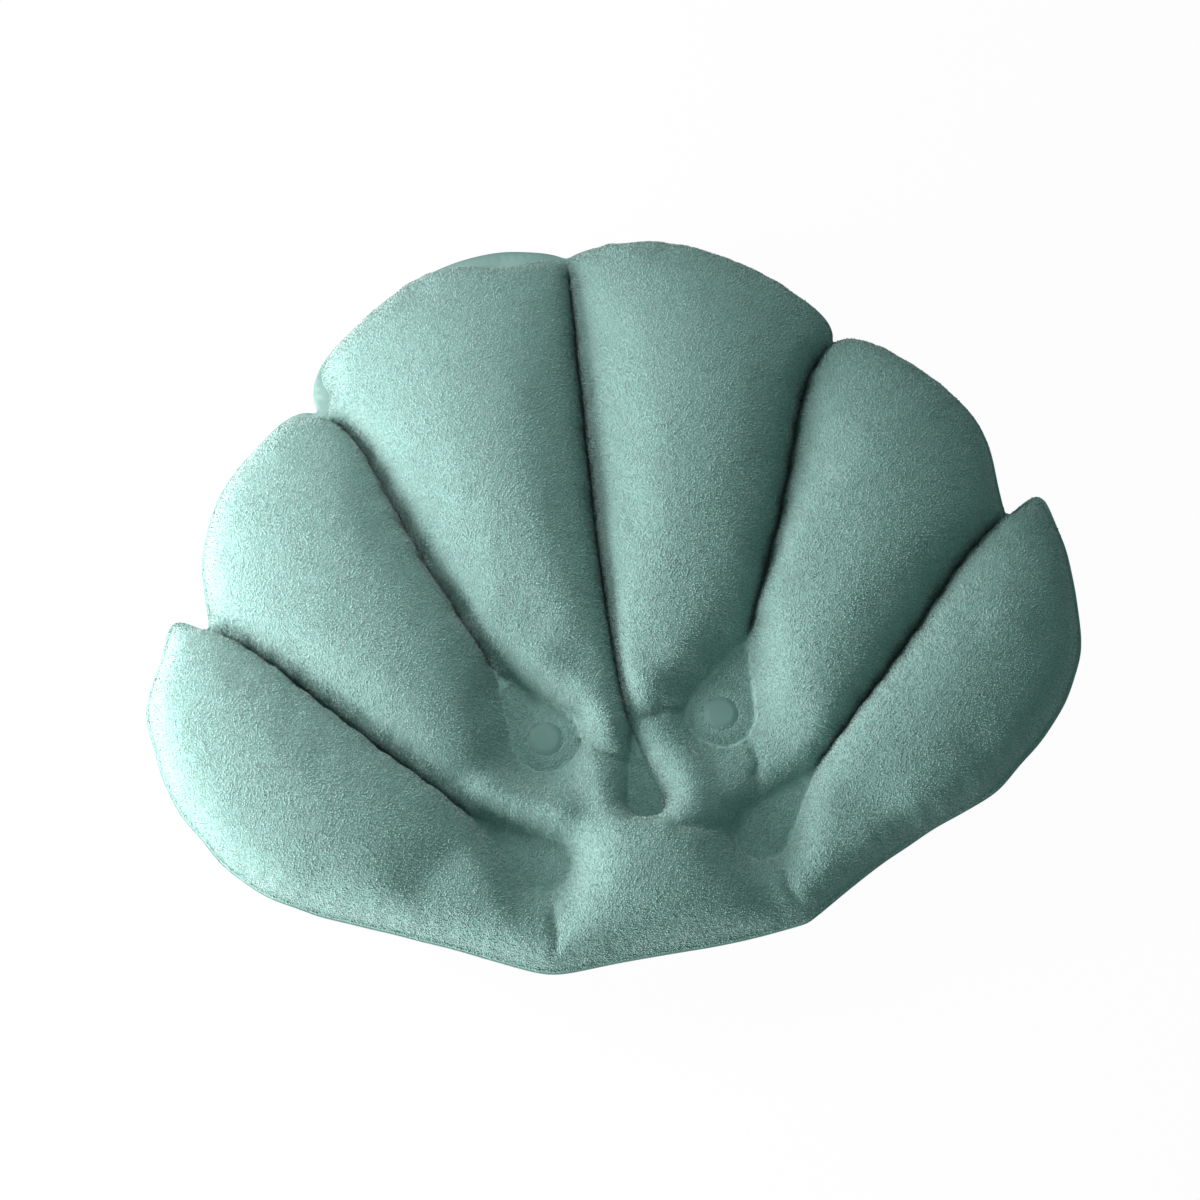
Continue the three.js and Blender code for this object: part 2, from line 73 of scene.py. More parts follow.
# Lengths below TINY count as none. Distances are measured to lines with a point every FINE_STEP millimetres, and a
# point nearer than ON_LINE to a line is on it. A rounded corner takes CORNER_ROOM of the shorter side at most.
TINY = 1e-6
FINE_STEP = 0.5
ON_LINE = 0.3
CORNER_ROOM = 0.45
WHITE: Colour = (1.0, 1.0, 1.0, 1.0)


class Slot(Enum):
    """The record's material slots."""

    TERRY = "terry"
    FILM = "film"
    VINYL = "soft_vinyl"


class Side(Enum):
    """Which face of the pillow a sheet is on, as the sign of its outward direction."""

    FRONT = 1
    BACK = -1


class Hand(Enum):
    """Which half of the pillow a piece is on, as the sign of X."""

    LEFT = -1
    RIGHT = 1


def colour(red: int, green: int, blue: int) -> Colour:
    """Turns a display colour into the linear one that shaders take.

    Args:
        red: Red from 0 to 255.
        green: Green from 0 to 255.
        blue: Blue from 0 to 255.

    Returns:
        The linear colour with full alpha.
    """
    parts = (c / 255 for c in (red, green, blue))
    linear = [c / 12.92 if c <= 0.04045 else ((c + 0.055) / 1.055) ** 2.4 for c in parts]
    return (*linear, 1.0)


# Shader nodes


class Socket:
    """An output socket whose arithmetic adds Math nodes to its tree."""

    def __init__(self, tree: "NodeTree", socket: bpy.types.NodeSocket) -> None:
        """Keeps the tree and the socket."""
        self.tree = tree
        self.socket = socket

    def _math(self, operation: str, first: Any, second: Any) -> "Socket":
        """Adds one Math node on two values and returns its output."""
        node = self.tree.add("ShaderNodeMath", {"operation": operation}, {0: first, 1: second})
        return self.tree.out(node, 0)

    def __add__(self, other: Any) -> "Socket":
        """Self plus other."""
        return self._math("ADD", self, other)

    __radd__ = __add__

    def __sub__(self, other: Any) -> "Socket":
        """Self minus other."""
        return self._math("SUBTRACT", self, other)

    def __rsub__(self, other: Any) -> "Socket":
        """Other minus self."""
        return self._math("SUBTRACT", other, self)

    def __mul__(self, other: Any) -> "Socket":
        """Self times other."""
        return self._math("MULTIPLY", self, other)

    __rmul__ = __mul__

    def at_least(self, other: Any) -> "Socket":
        """The larger of self and other."""
        return self._math("MAXIMUM", self, other)


class NodeTree:
    """A node tree that is filled through one generic method."""

    def __init__(self, tree: bpy.types.NodeTree) -> None:
        """Keeps an empty tree."""
        self.tree = tree

    def add(self, kind: str, settings: dict[str, Any] | None = None,
            sockets: dict[int | str, Any] | None = None) -> bpy.types.Node:
        """Adds a node.

        Args:
            kind: The node's type.
            settings: Its properties, which are set first. "stops" fills a colour ramp.
            sockets: Its inputs by name or number: a Socket is linked, and anything else is set as the value.

        Returns:
            The node.
        """
        node = self.tree.nodes.new(kind)
        for name, value in (settings or {}).items():
            if name == "stops":
                self._fill_ramp(node.color_ramp, value)
            else:
                setattr(node, name, value)
        for key, value in (sockets or {}).items():
            if isinstance(value, Socket):
                self.tree.links.new(value.socket, node.inputs[key])
            else:
                node.inputs[key].default_value = value
        return node

    @staticmethod
    def _fill_ramp(ramp: bpy.types.ColorRamp, stops: Sequence[tuple[float, Colour]]) -> None:
        """Sets a ramp's stops.

        Args:
            ramp: The colour ramp.
            stops: The place and colour of each stop.
        """
        while len(ramp.elements) < len(stops):
            ramp.elements.new(1.0)
        for element, (place, shade) in zip(ramp.elements, stops):
            element.position = place
            element.color = shade

    def out(self, node: bpy.types.Node, output: int | str = 0) -> Socket:
        """Wraps one of a node's outputs."""
        return Socket(self, node.outputs[output])

    def step(self, value: Socket, low: float, high: float) -> Socket:
        """A smooth step of a value from 0 at low to 1 at high.

        Args:
            value: The value that is read.
            low: Where the step starts.
            high: Where it ends.

        Returns:
            The step.
        """
        node = self.add("ShaderNodeMapRange", {"interpolation_type": "SMOOTHSTEP"},
                        {"Value": value, "From Min": low, "From Max": high})
        return self.out(node)

    def mix(self, share: Any, first: Any, second: Any) -> Socket:
        """Mixes two colours.

        Args:
            share: How much of the second one.
            first: A colour or Socket.
            second: A colour or Socket.

        Returns:
            The mixed colour.
        """
        node = self.add("ShaderNodeMix", {"data_type": "RGBA"}, {0: share, 6: first, 7: second})
        return self.out(node, 2)

    def attribute(self, name: str) -> Socket:
        """The value of one of the mesh's own attributes."""
        return self.out(self.add("ShaderNodeAttribute", {"attribute_name": name}), "Fac")

    def place(self) -> Socket:
        """Object coordinates."""
        return self.out(self.add("ShaderNodeTexCoord"), "Object")

    def noise(self, place: Socket, scale: float, detail: float = 2.0) -> Socket:
        """Noise from 0 to 1.

        Args:
            place: The coordinates.
            scale: Lumps in a metre.
            detail: Finer layers on it.

        Returns:
            The noise's value.
        """
        node = self.add("ShaderNodeTexNoise", {}, {"Vector": place, "Scale": scale, "Detail": detail})
        return self.out(node, 0)


def new_material(name: str) -> tuple[bpy.types.Material, NodeTree]:
    """Makes an empty node material.

    Args:
        name: The material's name.

    Returns:
        The material and its tree.
    """
    material = bpy.data.materials.new(name)
    material.use_nodes = True
    material.node_tree.nodes.clear()
    return material, NodeTree(material.node_tree)


def finish_surface(tree: NodeTree, settings: dict[str, Any]) -> None:
    """Ends a material's tree in a Principled shader.

    Args:
        tree: The material's tree.
        settings: The shader's inputs by name.
    """
    shader = tree.add("ShaderNodeBsdfPrincipled", {}, settings)
    tree.add("ShaderNodeOutputMaterial", {}, {"Surface": tree.out(shader)})


# Finishes


@dataclass(frozen=True)
class TerryFinish:
    """The ground cloth between the loops, with smooth bars where it is crushed by a weld, and painted shade in its
    pits.
    """

    deep: Colour = colour(110, 149, 141)
    body: Colour = colour(120, 159, 151)
    pale: Colour = colour(130, 169, 161)
    crushed: Colour = colour(134, 172, 164)
    bar_inner: float = 0.8
    bar_outer: float = 1.9
    loop_scale: float = 900.0
    patch_scale: float = 38.0
    patch_share: float = 0.18
    crushed_bump: float = 0.25
    crushed_roughness: float = 0.62
    pile_roughness: float = 0.33

    def make(self) -> bpy.types.Material:
        """Builds the material.

        Returns:
            The material.
        """
        material, tree = new_material("terry_ground")
        place = tree.place()
        loops = tree.noise(place, self.loop_scale, 3.0)
        patches = tree.noise(place, self.patch_scale)
        open_pile = tree.step(tree.attribute("weld_distance"), self.bar_inner, self.bar_outer)
        # The speckle is partly the cloth's grain and partly painted shade: it reads the bump's own noise, so it is
        # darker in the pits and paler on the tips.
        ramp = tree.add("ShaderNodeValToRGB",
                        {"stops": [(0.3, self.deep), (0.5, self.body), (0.72, self.pale)]}, {"Fac": loops})
        shade = tree.mix(self.patch_share * patches, tree.out(ramp), self.pale)
        bump = tree.add("ShaderNodeBump", {}, {
            "Strength": 0.6, "Distance": 0.0006,
            "Height": loops * (self.crushed_bump + (1 - self.crushed_bump) * open_pile)})
        finish_surface(tree, {
            "Base Color": tree.mix(open_pile, self.crushed, shade),
            "Roughness": self.crushed_roughness + self.pile_roughness * open_pile,
            "Sheen Weight": 0.25, "Sheen Roughness": 0.5, "Sheen Tint": self.pale,
            "Specular IOR Level": 0.25,
            "Normal": tree.out(bump)})
        return material


@dataclass(frozen=True)
class YarnFinish:
    """Yarn of the loops, in one of a few shades of the same dye lot."""

    name: str
    shade: Colour

    def make(self) -> bpy.types.Material:
        """Builds the material.

        Returns:
            The material.
        """
        material, tree = new_material(self.name)
        finish_surface(tree, {
            "Base Color": self.shade, "Roughness": 0.95, "Specular IOR Level": 0.2,
            "Sheen Weight": 0.6, "Sheen Roughness": 0.6, "Sheen Tint": WHITE})
        return material


YARNS = (
    YarnFinish("terry_yarn_deep", colour(123, 159, 151)),
    YarnFinish("terry_yarn_dull", colour(127, 163, 155)),
    YarnFinish("terry_yarn_body", colour(131, 167, 159)),
    YarnFinish("terry_yarn_soft", colour(135, 171, 163)),
    YarnFinish("terry_yarn_pale", colour(138, 174, 166)),
)


@dataclass(frozen=True)
class FilmFinish:
    """Calendered film with a fine grain and a soft shine, hazier close to its welds."""

    body: Colour = colour(118, 154, 147)
    deep: Colour = colour(106, 142, 135)
    weld: Colour = colour(126, 162, 155)
    grain_scale: float = 900.0
    cloud_scale: float = 22.0
    haze_reach: float = 6.0
    roughness: float = 0.36
    grain_roughness: float = 0.12
    haze_roughness: float = 0.1

    def make(self) -> bpy.types.Material:
        """Builds the material.

        Returns:
            The material.
        """
        material, tree = new_material("film")
        place = tree.place()
        grain = tree.noise(place, self.grain_scale)
        cloud = tree.noise(place, self.cloud_scale, 3.0)
        haze = 1 - tree.step(tree.attribute("weld_distance"), 0.0, self.haze_reach)
        bump = tree.add("ShaderNodeBump", {}, {"Strength": 0.25, "Distance": 0.0003, "Height": grain})
        finish_surface(tree, {
            "Base Color": tree.mix(haze, tree.mix(cloud, self.deep, self.body), self.weld),
            "Roughness": self.roughness + self.grain_roughness * grain + self.haze_roughness * haze,
            "Specular IOR Level": 0.5,
            "Normal": tree.out(bump)})
        return material


@dataclass(frozen=True)
class VinylFinish:
    """Soft moulded vinyl, milky and slightly cloudy, with a wiped sheen."""

    body: Colour = colour(88, 126, 118)
    cloud: Colour = colour(95, 132, 125)
    cloud_scale: float = 90.0
    wiped_scale: float = 420.0
    matt: float = 0.55
    wiped_roughness: float = 0.16

    def make(self) -> bpy.types.Material:
        """Builds the material.

        Returns:
            The material.
        """
        material, tree = new_material("soft_vinyl")
        place = tree.place()
        cloud = tree.noise(place, self.cloud_scale, 3.0)
        wiped = tree.noise(place, self.wiped_scale)
        bump = tree.add("ShaderNodeBump", {}, {"Strength": 0.12, "Distance": 0.0002, "Height": wiped})
        finish_surface(tree, {
            "Base Color": tree.mix(cloud, self.body, self.cloud),
            "Roughness": self.matt + self.wiped_roughness * wiped,
            "Subsurface Weight": 0.15, "Subsurface Radius": (0.002, 0.003, 0.003), "Subsurface Scale": 1.0,
            "Normal": tree.out(bump)})
        return material


# Meshes


def new_piece(name: str, points: np.ndarray, faces: Sequence[Sequence[int]],
              material: bpy.types.Material) -> bpy.types.Object:
    """Makes an object from points and faces.

    Args:
        name: The piece's name.
        points: Points in metres, one row each.
        faces: The faces' corners.
        material: The piece's material.

    Returns:
        The smooth-shaded object, at the origin.
    """
    mesh = bpy.data.meshes.new(name)
    mesh.from_pydata([tuple(p) for p in points], [], [tuple(int(i) for i in f) for f in faces])
    mesh.materials.append(material)
    mesh.polygons.foreach_set("use_smooth", np.ones(len(mesh.polygons), bool))
    mesh.update()
    piece = bpy.data.objects.new(name, mesh)
    bpy.context.scene.collection.objects.link(piece)
    return piece


def give_values(piece: bpy.types.Object, name: str, values: np.ndarray) -> None:
    """Writes one value per point to a piece's mesh as a named attribute."""
    attribute = piece.data.attributes.new(name, "FLOAT", "POINT")
    attribute.data.foreach_set("value", values.astype(np.float32))


def keep_sharp(piece: bpy.types.Object, marked: np.ndarray) -> None:
    """Creases the edges between marked points, so that subdivision and shading keep them sharp.

    Args:
        piece: The piece whose mesh is creased.
        marked: One truth value per point.
    """
    ends = np.empty(len(piece.data.edges) * 2, int)
    piece.data.edges.foreach_get("vertices", ends)
    sharp = marked[ends.reshape(-1, 2)].all(1)
    crease = piece.data.attributes.new("crease_edge", "FLOAT", "EDGE")
    crease.data.foreach_set("value", sharp.astype(np.float32))
    split = piece.data.attributes.new("sharp_edge", "BOOLEAN", "EDGE")
    split.data.foreach_set("value", sharp)


def apply_modifiers(piece: bpy.types.Object) -> None:
    """Turns a piece with its modifiers into a plain mesh.

    Args:
        piece: The piece, which keeps its name.
    """
    bpy.context.view_layer.update()
    evaluated = piece.evaluated_get(bpy.context.evaluated_depsgraph_get())
    made = bpy.data.meshes.new_from_object(evaluated)
    piece.modifiers.clear()
    spare = piece.data
    piece.data = made
    bpy.data.meshes.remove(spare)
    made.name = piece.name


def rounded(profile: Profile, radius: float, steps: int = 4) -> list[tuple[float, float]]:
    """Rounds the corners of a closed profile.

    Args:
        profile: Points as (radius, height), in order round the section.
        radius: The rounding's radius, less where a side is short.
        steps: Segments in each corner.

    Returns:
        The profile with an arc at each corner that is off the axis.
    """
    points = [np.array(p, float) for p in profile]
    result: list[tuple[float, float]] = []
    for i, corner in enumerate(points):
        before, after = points[i - 1], points[(i + 1) % len(points)]
        to_before, to_after = before - corner, after - corner
        room = min(np.linalg.norm(to_before), np.linalg.norm(to_after)) * CORNER_ROOM
        if corner[0] < TINY or room < TINY:
            result.append((float(corner[0]), float(corner[1])))
            continue
        cut = min(radius, room)
        start = corner + to_before / np.linalg.norm(to_before) * cut
        end = corner + to_after / np.linalg.norm(to_after) * cut
        for k in range(steps + 1):
            t = k / steps
            p = (1 - t) ** 2 * start + 2 * t * (1 - t) * corner + t ** 2 * end
            result.append((float(p[0]), float(p[1])))
    return result


def turned_piece(name: str, profile: Profile, centre: Vector, material: bpy.types.Material,
                 sides: int = 64) -> bpy.types.Object:
    """Turns a section about a vertical axis.

    Args:
        name: The piece's name.
        profile: The section as (radius, height) in millimetres, in order. It closes on itself or on the axis.
        centre: A point on the axis, in metres.
        material: The piece's material.
        sides: Segments round the axis.

    Returns:
        The closed piece.
    """
    points: list[tuple[float, float, float]] = []
    starts: list[tuple[int, bool]] = []
    for radius, height in ((r * MM, z * MM) for r, z in profile):
        on_axis = radius < TINY
        starts.append((len(points), on_axis))
        for k in range(1 if on_axis else sides):
            turn = 2 * math.pi * k / sides
            points.append((centre.x + radius * math.cos(turn), centre.y + radius * math.sin(turn), height))
    faces: list[tuple[int, ...]] = []
    for (a, a_axis), (b, b_axis) in zip(starts, starts[1:] + starts[:1]):
        if a_axis and b_axis:
            continue
        for k in range(sides):
            n = (k + 1) % sides
            low = (a,) if a_axis else (a + k, a + n)
            high = (b,) if b_axis else (b + n, b + k)
            faces.append((*low, *high))
    piece = new_piece(name, np.array(points), faces, material)
    body = bmesh.new()
    body.from_mesh(piece.data)
    bmesh.ops.recalc_face_normals(body, faces=body.faces)
    body.to_mesh(piece.data)
    body.free()
    return piece


# Plan of the shell


def polar(angle: float, reach: float) -> np.ndarray:
    """A plan point by its angle from +X in degrees and its reach from the middle of the base edge."""
    turn = math.radians(angle)
    return reach * np.array([math.cos(turn), math.sin(turn)])


def respaced(line: np.ndarray, step: float) -> np.ndarray:
    """Spaces points evenly along a line.

    Args:
        line: The line's points.
        step: About how far apart the new points are.

    Returns:
        The new points, both ends among them.
    """
    lengths = np.linalg.norm(np.diff(line, axis=0), axis=1)
    along = np.concatenate([[0.0], np.cumsum(lengths)])
    count = max(2, round(along[-1] / step))
    places = np.linspace(0.0, along[-1], count + 1)
    return np.stack([np.interp(places, along, line[:, k]) for k in (0, 1)], axis=1)


def inside(loop: np.ndarray, points: np.ndarray) -> np.ndarray:
    """Which points lie inside a closed loop.

    Args:
        loop: The loop's corners in order.
        points: The points to test.

    Returns:
        One truth value per point.
    """
    x, y = points[:, 0], points[:, 1]
    found = np.zeros(len(points), bool)
    for (x0, y0), (x1, y1) in zip(loop, np.roll(loop, -1, axis=0)):
        if y0 != y1:
            found ^= ((y0 > y) != (y1 > y)) & (x < x0 + (y - y0) * (x1 - x0) / (y1 - y0))
    return found


def nearest(points: np.ndarray, targets: np.ndarray, chunk: int = 2000) -> tuple[np.ndarray, np.ndarray]:
    """The nearest target of each point.

    Args:
        points: Plan points.
        targets: The points that they are measured to.
        chunk: How many points are measured at once.

    Returns:
        The distances and the targets' numbers.
    """
    distances = np.empty(len(points))
    numbers = np.empty(len(points), int)
    for start in range(0, len(points), chunk):
        part = slice(start, start + chunk)
        square = ((points[part, None, :] - targets[None]) ** 2).sum(2)
        numbers[part] = square.argmin(1)
        distances[part] = np.sqrt(square.min(1))
    return distances, numbers


def sideways(line: np.ndarray) -> np.ndarray:
    """The direction to the left of a line.

    Args:
        line: The line's points.

    Returns:
        A unit direction at each point.
    """
    run = np.gradient(line, axis=0)
    run /= np.linalg.norm(run, axis=1)[:, None]
    return np.stack([-run[:, 1], run[:, 0]], axis=1)


def without_spares(triangles: np.ndarray, count: int) -> tuple[np.ndarray, np.ndarray]:
    """Drops the points that no triangle uses.

    Args:
        triangles: The triangles by their points' numbers.
        count: How many points there are.

    Returns:
        The numbers of the points that stay, and the triangles by the new numbers.
    """
    used = np.unique(triangles)
    numbers = np.zeros(count, int)
    numbers[used] = np.arange(len(used))
    return used, numbers[triangles]


@dataclass(frozen=True)
class WeldedSpot:
    """A drop-shaped welded spot, and the weld line from its point to the rim. Millimetres and degrees.

    The round end is placed by angle and reach, and the point lies at length from it towards lean. The weld line ends
    at rim, given by angle and reach too, and bows aside, the later along it the greater its lateness.
    """

    angle: float
    reach: float
    radius: float
    length: float
    lean: float
    rim: tuple[float, float]
    bow: float
    slack: float
    lateness: float = 3.2
    hand: Hand = Hand.RIGHT
    print_width: float = 1.0
    crisp: bool = True
    tilt: float = 0.0
    tilt_reach: float = 1.6
    flank_margin: float = 4.0
    tight_reach: float = 6.0
    inward_start: float = 0.5
    inward_fade: float = 1.3
    tip_share: float = 0.6

    def _handed(self, points: np.ndarray) -> np.ndarray:
        """Points of the right half, put on the spot's own half."""
        return points * [self.hand.value, 1]

    def centre(self) -> np.ndarray:
        """The middle of the round end."""
        return self._handed(polar(self.angle, self.reach))

    def outline(self, step: float) -> np.ndarray:
        """The closed outline.

        Args:
            step: How far apart its points are.

        Returns:
            The points, with the tip among them.
        """
        middle = polar(self.angle, self.reach)
        tangent = math.degrees(math.acos(self.radius / self.length))
        turns = np.linspace(self.lean + tangent, self.lean + 360 - tangent, 81)
        arc = np.array([polar(t, self.radius) for t in turns]) + middle
        tip = (polar(self.lean, self.length) + middle)[None]
        first = respaced(np.concatenate([arc, tip]), step)
        last = respaced(np.concatenate([tip, arc[:1]]), step)
        return self._handed(np.concatenate([first[:-1], last[:-1]]))

    def slope(self, points: np.ndarray) -> np.ndarray:
        """How far the spot's tilt lifts points on it and close round it.

        Args:
            points: Plan points.

        Returns:
            One height per point.
        """
        offset = self._handed(points - self.centre())
        along, across = offset @ polar(self.lean, 1.0), offset @ polar(self.lean - 90, 1.0)
        away = np.hypot(across, along - np.clip(along, 0.0, self.length))
        near = np.exp(-(away / (self.tilt_reach * self.radius)) ** 4)
        return -math.tan(math.radians(self.tilt)) * across * near

    def inner_flank(self, step: float) -> np.ndarray:
        """The part of the outline between the tip and the round end that faces the middle of the pillow.

        Args:
            step: How far apart its points are.

        Returns:
            The points.
        """
        points = self.outline(step)
        offset = self._handed(points - self.centre())
        across = offset @ polar(self.lean + 90, 1.0)
        along = offset @ polar(self.lean, 1.0)
        return points[(across > self.flank_margin) & (along > -self.flank_margin)]

    def weld_line(self, stop_short: float, step: float) -> np.ndarray:
        """The weld line from the spot's point to the rim.

        Args:
            stop_short: How far before the rim it ends.
            step: How far apart its points are.

        Returns:
            The line's points.
        """
        start = polar(self.angle, self.reach) + polar(self.lean, self.length)
        run = polar(self.rim[0], self.rim[1] - stop_short) - start
        aside = np.array([-run[1], run[0]]) / np.linalg.norm(run)
        share = np.linspace(0.0, 1.0, 200)[:, None]
        line = start + run * share + self.bow * np.sin(np.pi * share ** self.lateness) * aside
        return self._handed(respaced(line, step))

    def slackness(self, points: np.ndarray) -> np.ndarray:
        """How slack the sheets are about the spot: tight by the lobes, slack below the round end.

        Args:
            points: Plan points.

        Returns:
            One value per point, from 1 at the spot's edge down to 0.
        """
        distance = nearest(points, self.outline(FINE_STEP))[0]
        offset = points - self.centre()
        along = offset @ self._handed(polar(self.lean, 1.0)) / self.length
        inward = np.maximum(0.0, -self.hand.value * offset[:, 0] / self.radius - self.inward_start)
        lower = self.slack / (1 + self.inward_fade * inward)
        tight = np.minimum(self.tight_reach, lower)
        reach = lower + (tight - lower) * np.clip(self.tip_share + along, 0.0, 1.0)
        return np.exp(-distance / reach)


@dataclass(frozen=True)
class Place:
    """A line in plan along which the front stands differently, with its reach and how much of a change it makes."""

    corners: tuple[tuple[float, float], ...]
    reach: float
    change: float

    def nearness(self, points: np.ndarray) -> np.ndarray:
        """How near each point is, from 1 on the line down to 0."""
        line = respaced(np.array(self.corners, float), 1.0)
        return np.exp(-(nearest(points, line)[0] / self.reach) ** 2)


@dataclass(frozen=True)
class Fold:
    """A fold in the slack front sheet, by its plan line, its depth and the share of the height that it lets stand."""

    corners: tuple[tuple[float, float], ...]
    depth: float
    level: float = 1.0
    reach: float = 1.7
    step: float = 2.6
    end_phase: float = 0.12
    middle_phase: float = 0.76

    def line(self) -> np.ndarray:
        """The fold's points."""
        return respaced(np.array(self.corners, float), self.step)

    def depths(self, points: np.ndarray) -> np.ndarray:
        """How deep in the fold each point is: the most on its line, fading to nothing at its ends and sides.

        Args:
            points: Plan points.

        Returns:
            One depth per point.
        """
        line = self.line()
        distance, number = nearest(points, line)
        along = number / (len(line) - 1)
        fade = np.sin(np.pi * (self.end_phase + self.middle_phase * along))
        return self.depth * np.exp(-(distance / self.reach) ** 2) * fade


@dataclass(frozen=True)
class RimHalf:
    """The rim of one half, which lies a little differently on each hand of a soft pillow.

    The base's corner is by X and Y, the points along the side lobe are by angle and reach.
    """

    base_corner: tuple[float, float]
    side_points: tuple[tuple[float, float], ...]
    cup_reach: float
    crown_bulge: float


RIGHT_RIM = RimHalf(
    base_corner=(64, 4), cup_reach=308, crown_bulge=25.0,
    side_points=((15.6, 113), (18.5, 170.5), (25, 223), (33.3, 254), (39.7, 272), (43.3, 279)))
LEFT_RIM = RimHalf(
    base_corner=(54, -4), cup_reach=309.5, crown_bulge=31.5,
    side_points=((11, 111), (14.5, 161), (17, 191), (24.5, 233), (32.9, 262.5), (39.3, 272.5), (43.2, 277)))


@dataclass
class PlanMesh:
    """The triangulated plan, with what each point is and how far it is from the welds."""

    points: np.ndarray
    triangles: np.ndarray
    welded: np.ndarray
    on_weld: np.ndarray
    film_edge: np.ndarray
    island: np.ndarray
    rim_distance: np.ndarray
    spot_distance: np.ndarray
    steep_distance: np.ndarray
    print_distance: np.ndarray
    head_distance: np.ndarray
    slack: np.ndarray
    folds: list[np.ndarray]
    level: np.ndarray
    fullness: np.ndarray
    pucker: np.ndarray
    edge_puff: float = 0.45
    puff_start: float = 15.5
    puff_width: float = 5.0
    puff_fade: float = 2.5

    def puff(self) -> np.ndarray:
        """How far the pile stands up over the welded spots: less on their edges than within them.

        Returns:
            One share per point.
        """
        share = np.clip((self.puff_start - self.head_distance) / self.puff_width, 0.0, 1.0)
        beside = self.edge_puff * np.exp(-self.spot_distance / self.puff_fade)
        return np.where(self.island, self.edge_puff + (1 - self.edge_puff) * share, beside)


@dataclass
class ShellPlan:
    """The flat shape of the two sheets and their welds. The rim's notches are by angle and reach.

    A pucker's wave has its length, its start and its share. A tuck has its depth, its place and its reach.
    """

    base_bow: float = 1.0
    outer_rim: tuple[float, float] = (44.5, 262.0)
    cup_rim: tuple[float, float] = (66.8, 308.0)
    crown_rim: tuple[float, float] = (89.2, 345.0)
    shoulder_bulge: float = 24.0
    outer_notch_ease: float = 1.2
    cup_notch_ease: float = 0.45
    crown_notch_ease: float = 0.75
    corner_rounds: int = 6
    corner_top: float = 40.0
    corner_right: float = 30.0
    terry_inset: float = 0.6
    seam_inset: float = 2.2
    pucker_depth: float = 1.4
    pucker_swing: float = 0.28
    pucker_waves: tuple[tuple[float, float, float], ...] = ((7.3, 0.7, 1.0), (11.9, 2.1, 0.9), (4.1, 0.0, 0.4))
    calm_height: float = 60.0
    calm_least: float = 0.15
    tucks: tuple[tuple[float, float, float, float], ...] = ((9.0, -27, 352, 22), (8.0, -121, 292, 9))
    step: float = 4.15
    drop_step: float = 0.7
    clear_step: float = 0.6
    valve_reach: float = 31.0
    valve_hole: float = 4.9
    valve_seat: float = 12.4
    valve_border: float = 1.2
    neck_hole: float = 4.0
    patch_gap: float = 0.95
    flange_gap: float = 0.3
    hold_reach: float = 0.4
    full_places: tuple[Place, ...] = (
        Place(((-20, 117), (-12, 101)), 12, 0.42), Place(((-40, 158), (-27, 128)), 11, 0.0),
        Place(((7, 122), (9, 117)), 9, 0.2), Place(((-72, 83), (-57, 75), (-42, 66)), 8, 0.3))
    low_places: tuple[Place, ...] = (
        Place(((-12, 86), (-9, 70)), 7, 0.6), Place(((-25, 86), (-25, 80)), 8, 0.35))
    spots: list[WeldedSpot] = field(default_factory=list)

    def __post_init__(self) -> None:
        """Lays out the five spots."""
        for hand, outer_print, cup_print in ((Hand.LEFT, 0.2, 0.4), (Hand.RIGHT, 1.0, 0.8)):
            self.spots += [
                WeldedSpot(angle=44.5, reach=70, radius=13, length=40, lean=43, rim=self.outer_rim, bow=3, slack=16,
                           hand=hand, print_width=outer_print, crisp=hand is Hand.RIGHT),
                WeldedSpot(angle=69.5, reach=116, radius=16, length=40, lean=63, rim=self.cup_rim, bow=6, slack=30,
                           hand=hand, print_width=cup_print, crisp=False)]
        self.spots.append(
            WeldedSpot(angle=90, reach=72, radius=9, length=36, lean=92, rim=self.crown_rim, bow=4, slack=2,
                       lateness=0.6, print_width=0.2, tilt=13))

    def cup_spots(self) -> list[WeldedSpot]:
        """The two spots that the cups go through, left one first."""
        return [s for s in self.spots if s.rim == self.cup_rim]

    @staticmethod
    def _scallop(start: np.ndarray, end: np.ndarray, bulge: float, eases: tuple[float, float]) -> np.ndarray:
        """An edge that swells out between two notches and leaves each by its own ease.

        Args:
            start: The notch where it starts.
            end: The notch where it ends.
            bulge: How far it swells.
            eases: How gently it leaves each notch.

        Returns:
            The edge's points.
        """
        outward = np.array([end[1] - start[1], start[0] - end[0]])
        outward /= np.linalg.norm(outward)
        across = np.sin(np.linspace(-math.pi / 2, math.pi / 2, 300))[:, None]
        share = (across + 1) / 2
        swell = bulge * np.maximum(0.0, 1 - across ** 2) ** (eases[0] + (eases[1] - eases[0]) * share)
        return start + (end - start) * share + swell * outward

    @staticmethod
    def _side(start: np.ndarray, end: np.ndarray, between: Sequence[tuple[float, float]]) -> np.ndarray:
        """The side lobe's edge, a smooth curve through its points.

        Args:
            start: The base's corner.
            end: The outer notch.
            between: The points between them, by angle and reach.

        Returns:
            The edge's points.
        """
        knots = [start, *(polar(*p) for p in between), end]
        t = np.linspace(0.0, 1.0, 60)[:-1, None]
        parts = []
        for i in range(len(knots) - 1):
            a, b = knots[i], knots[i + 1]
            leave = (b - knots[max(i - 1, 0)]) / 2
            arrive = (knots[min(i + 2, len(knots) - 1)] - a) / 2
            parts.append((2 * a - 2 * b + leave + arrive) * t ** 3
                         + (3 * b - 3 * a - 2 * leave - arrive) * t ** 2 + leave * t + a)
        return np.concatenate([*parts, end[None]])

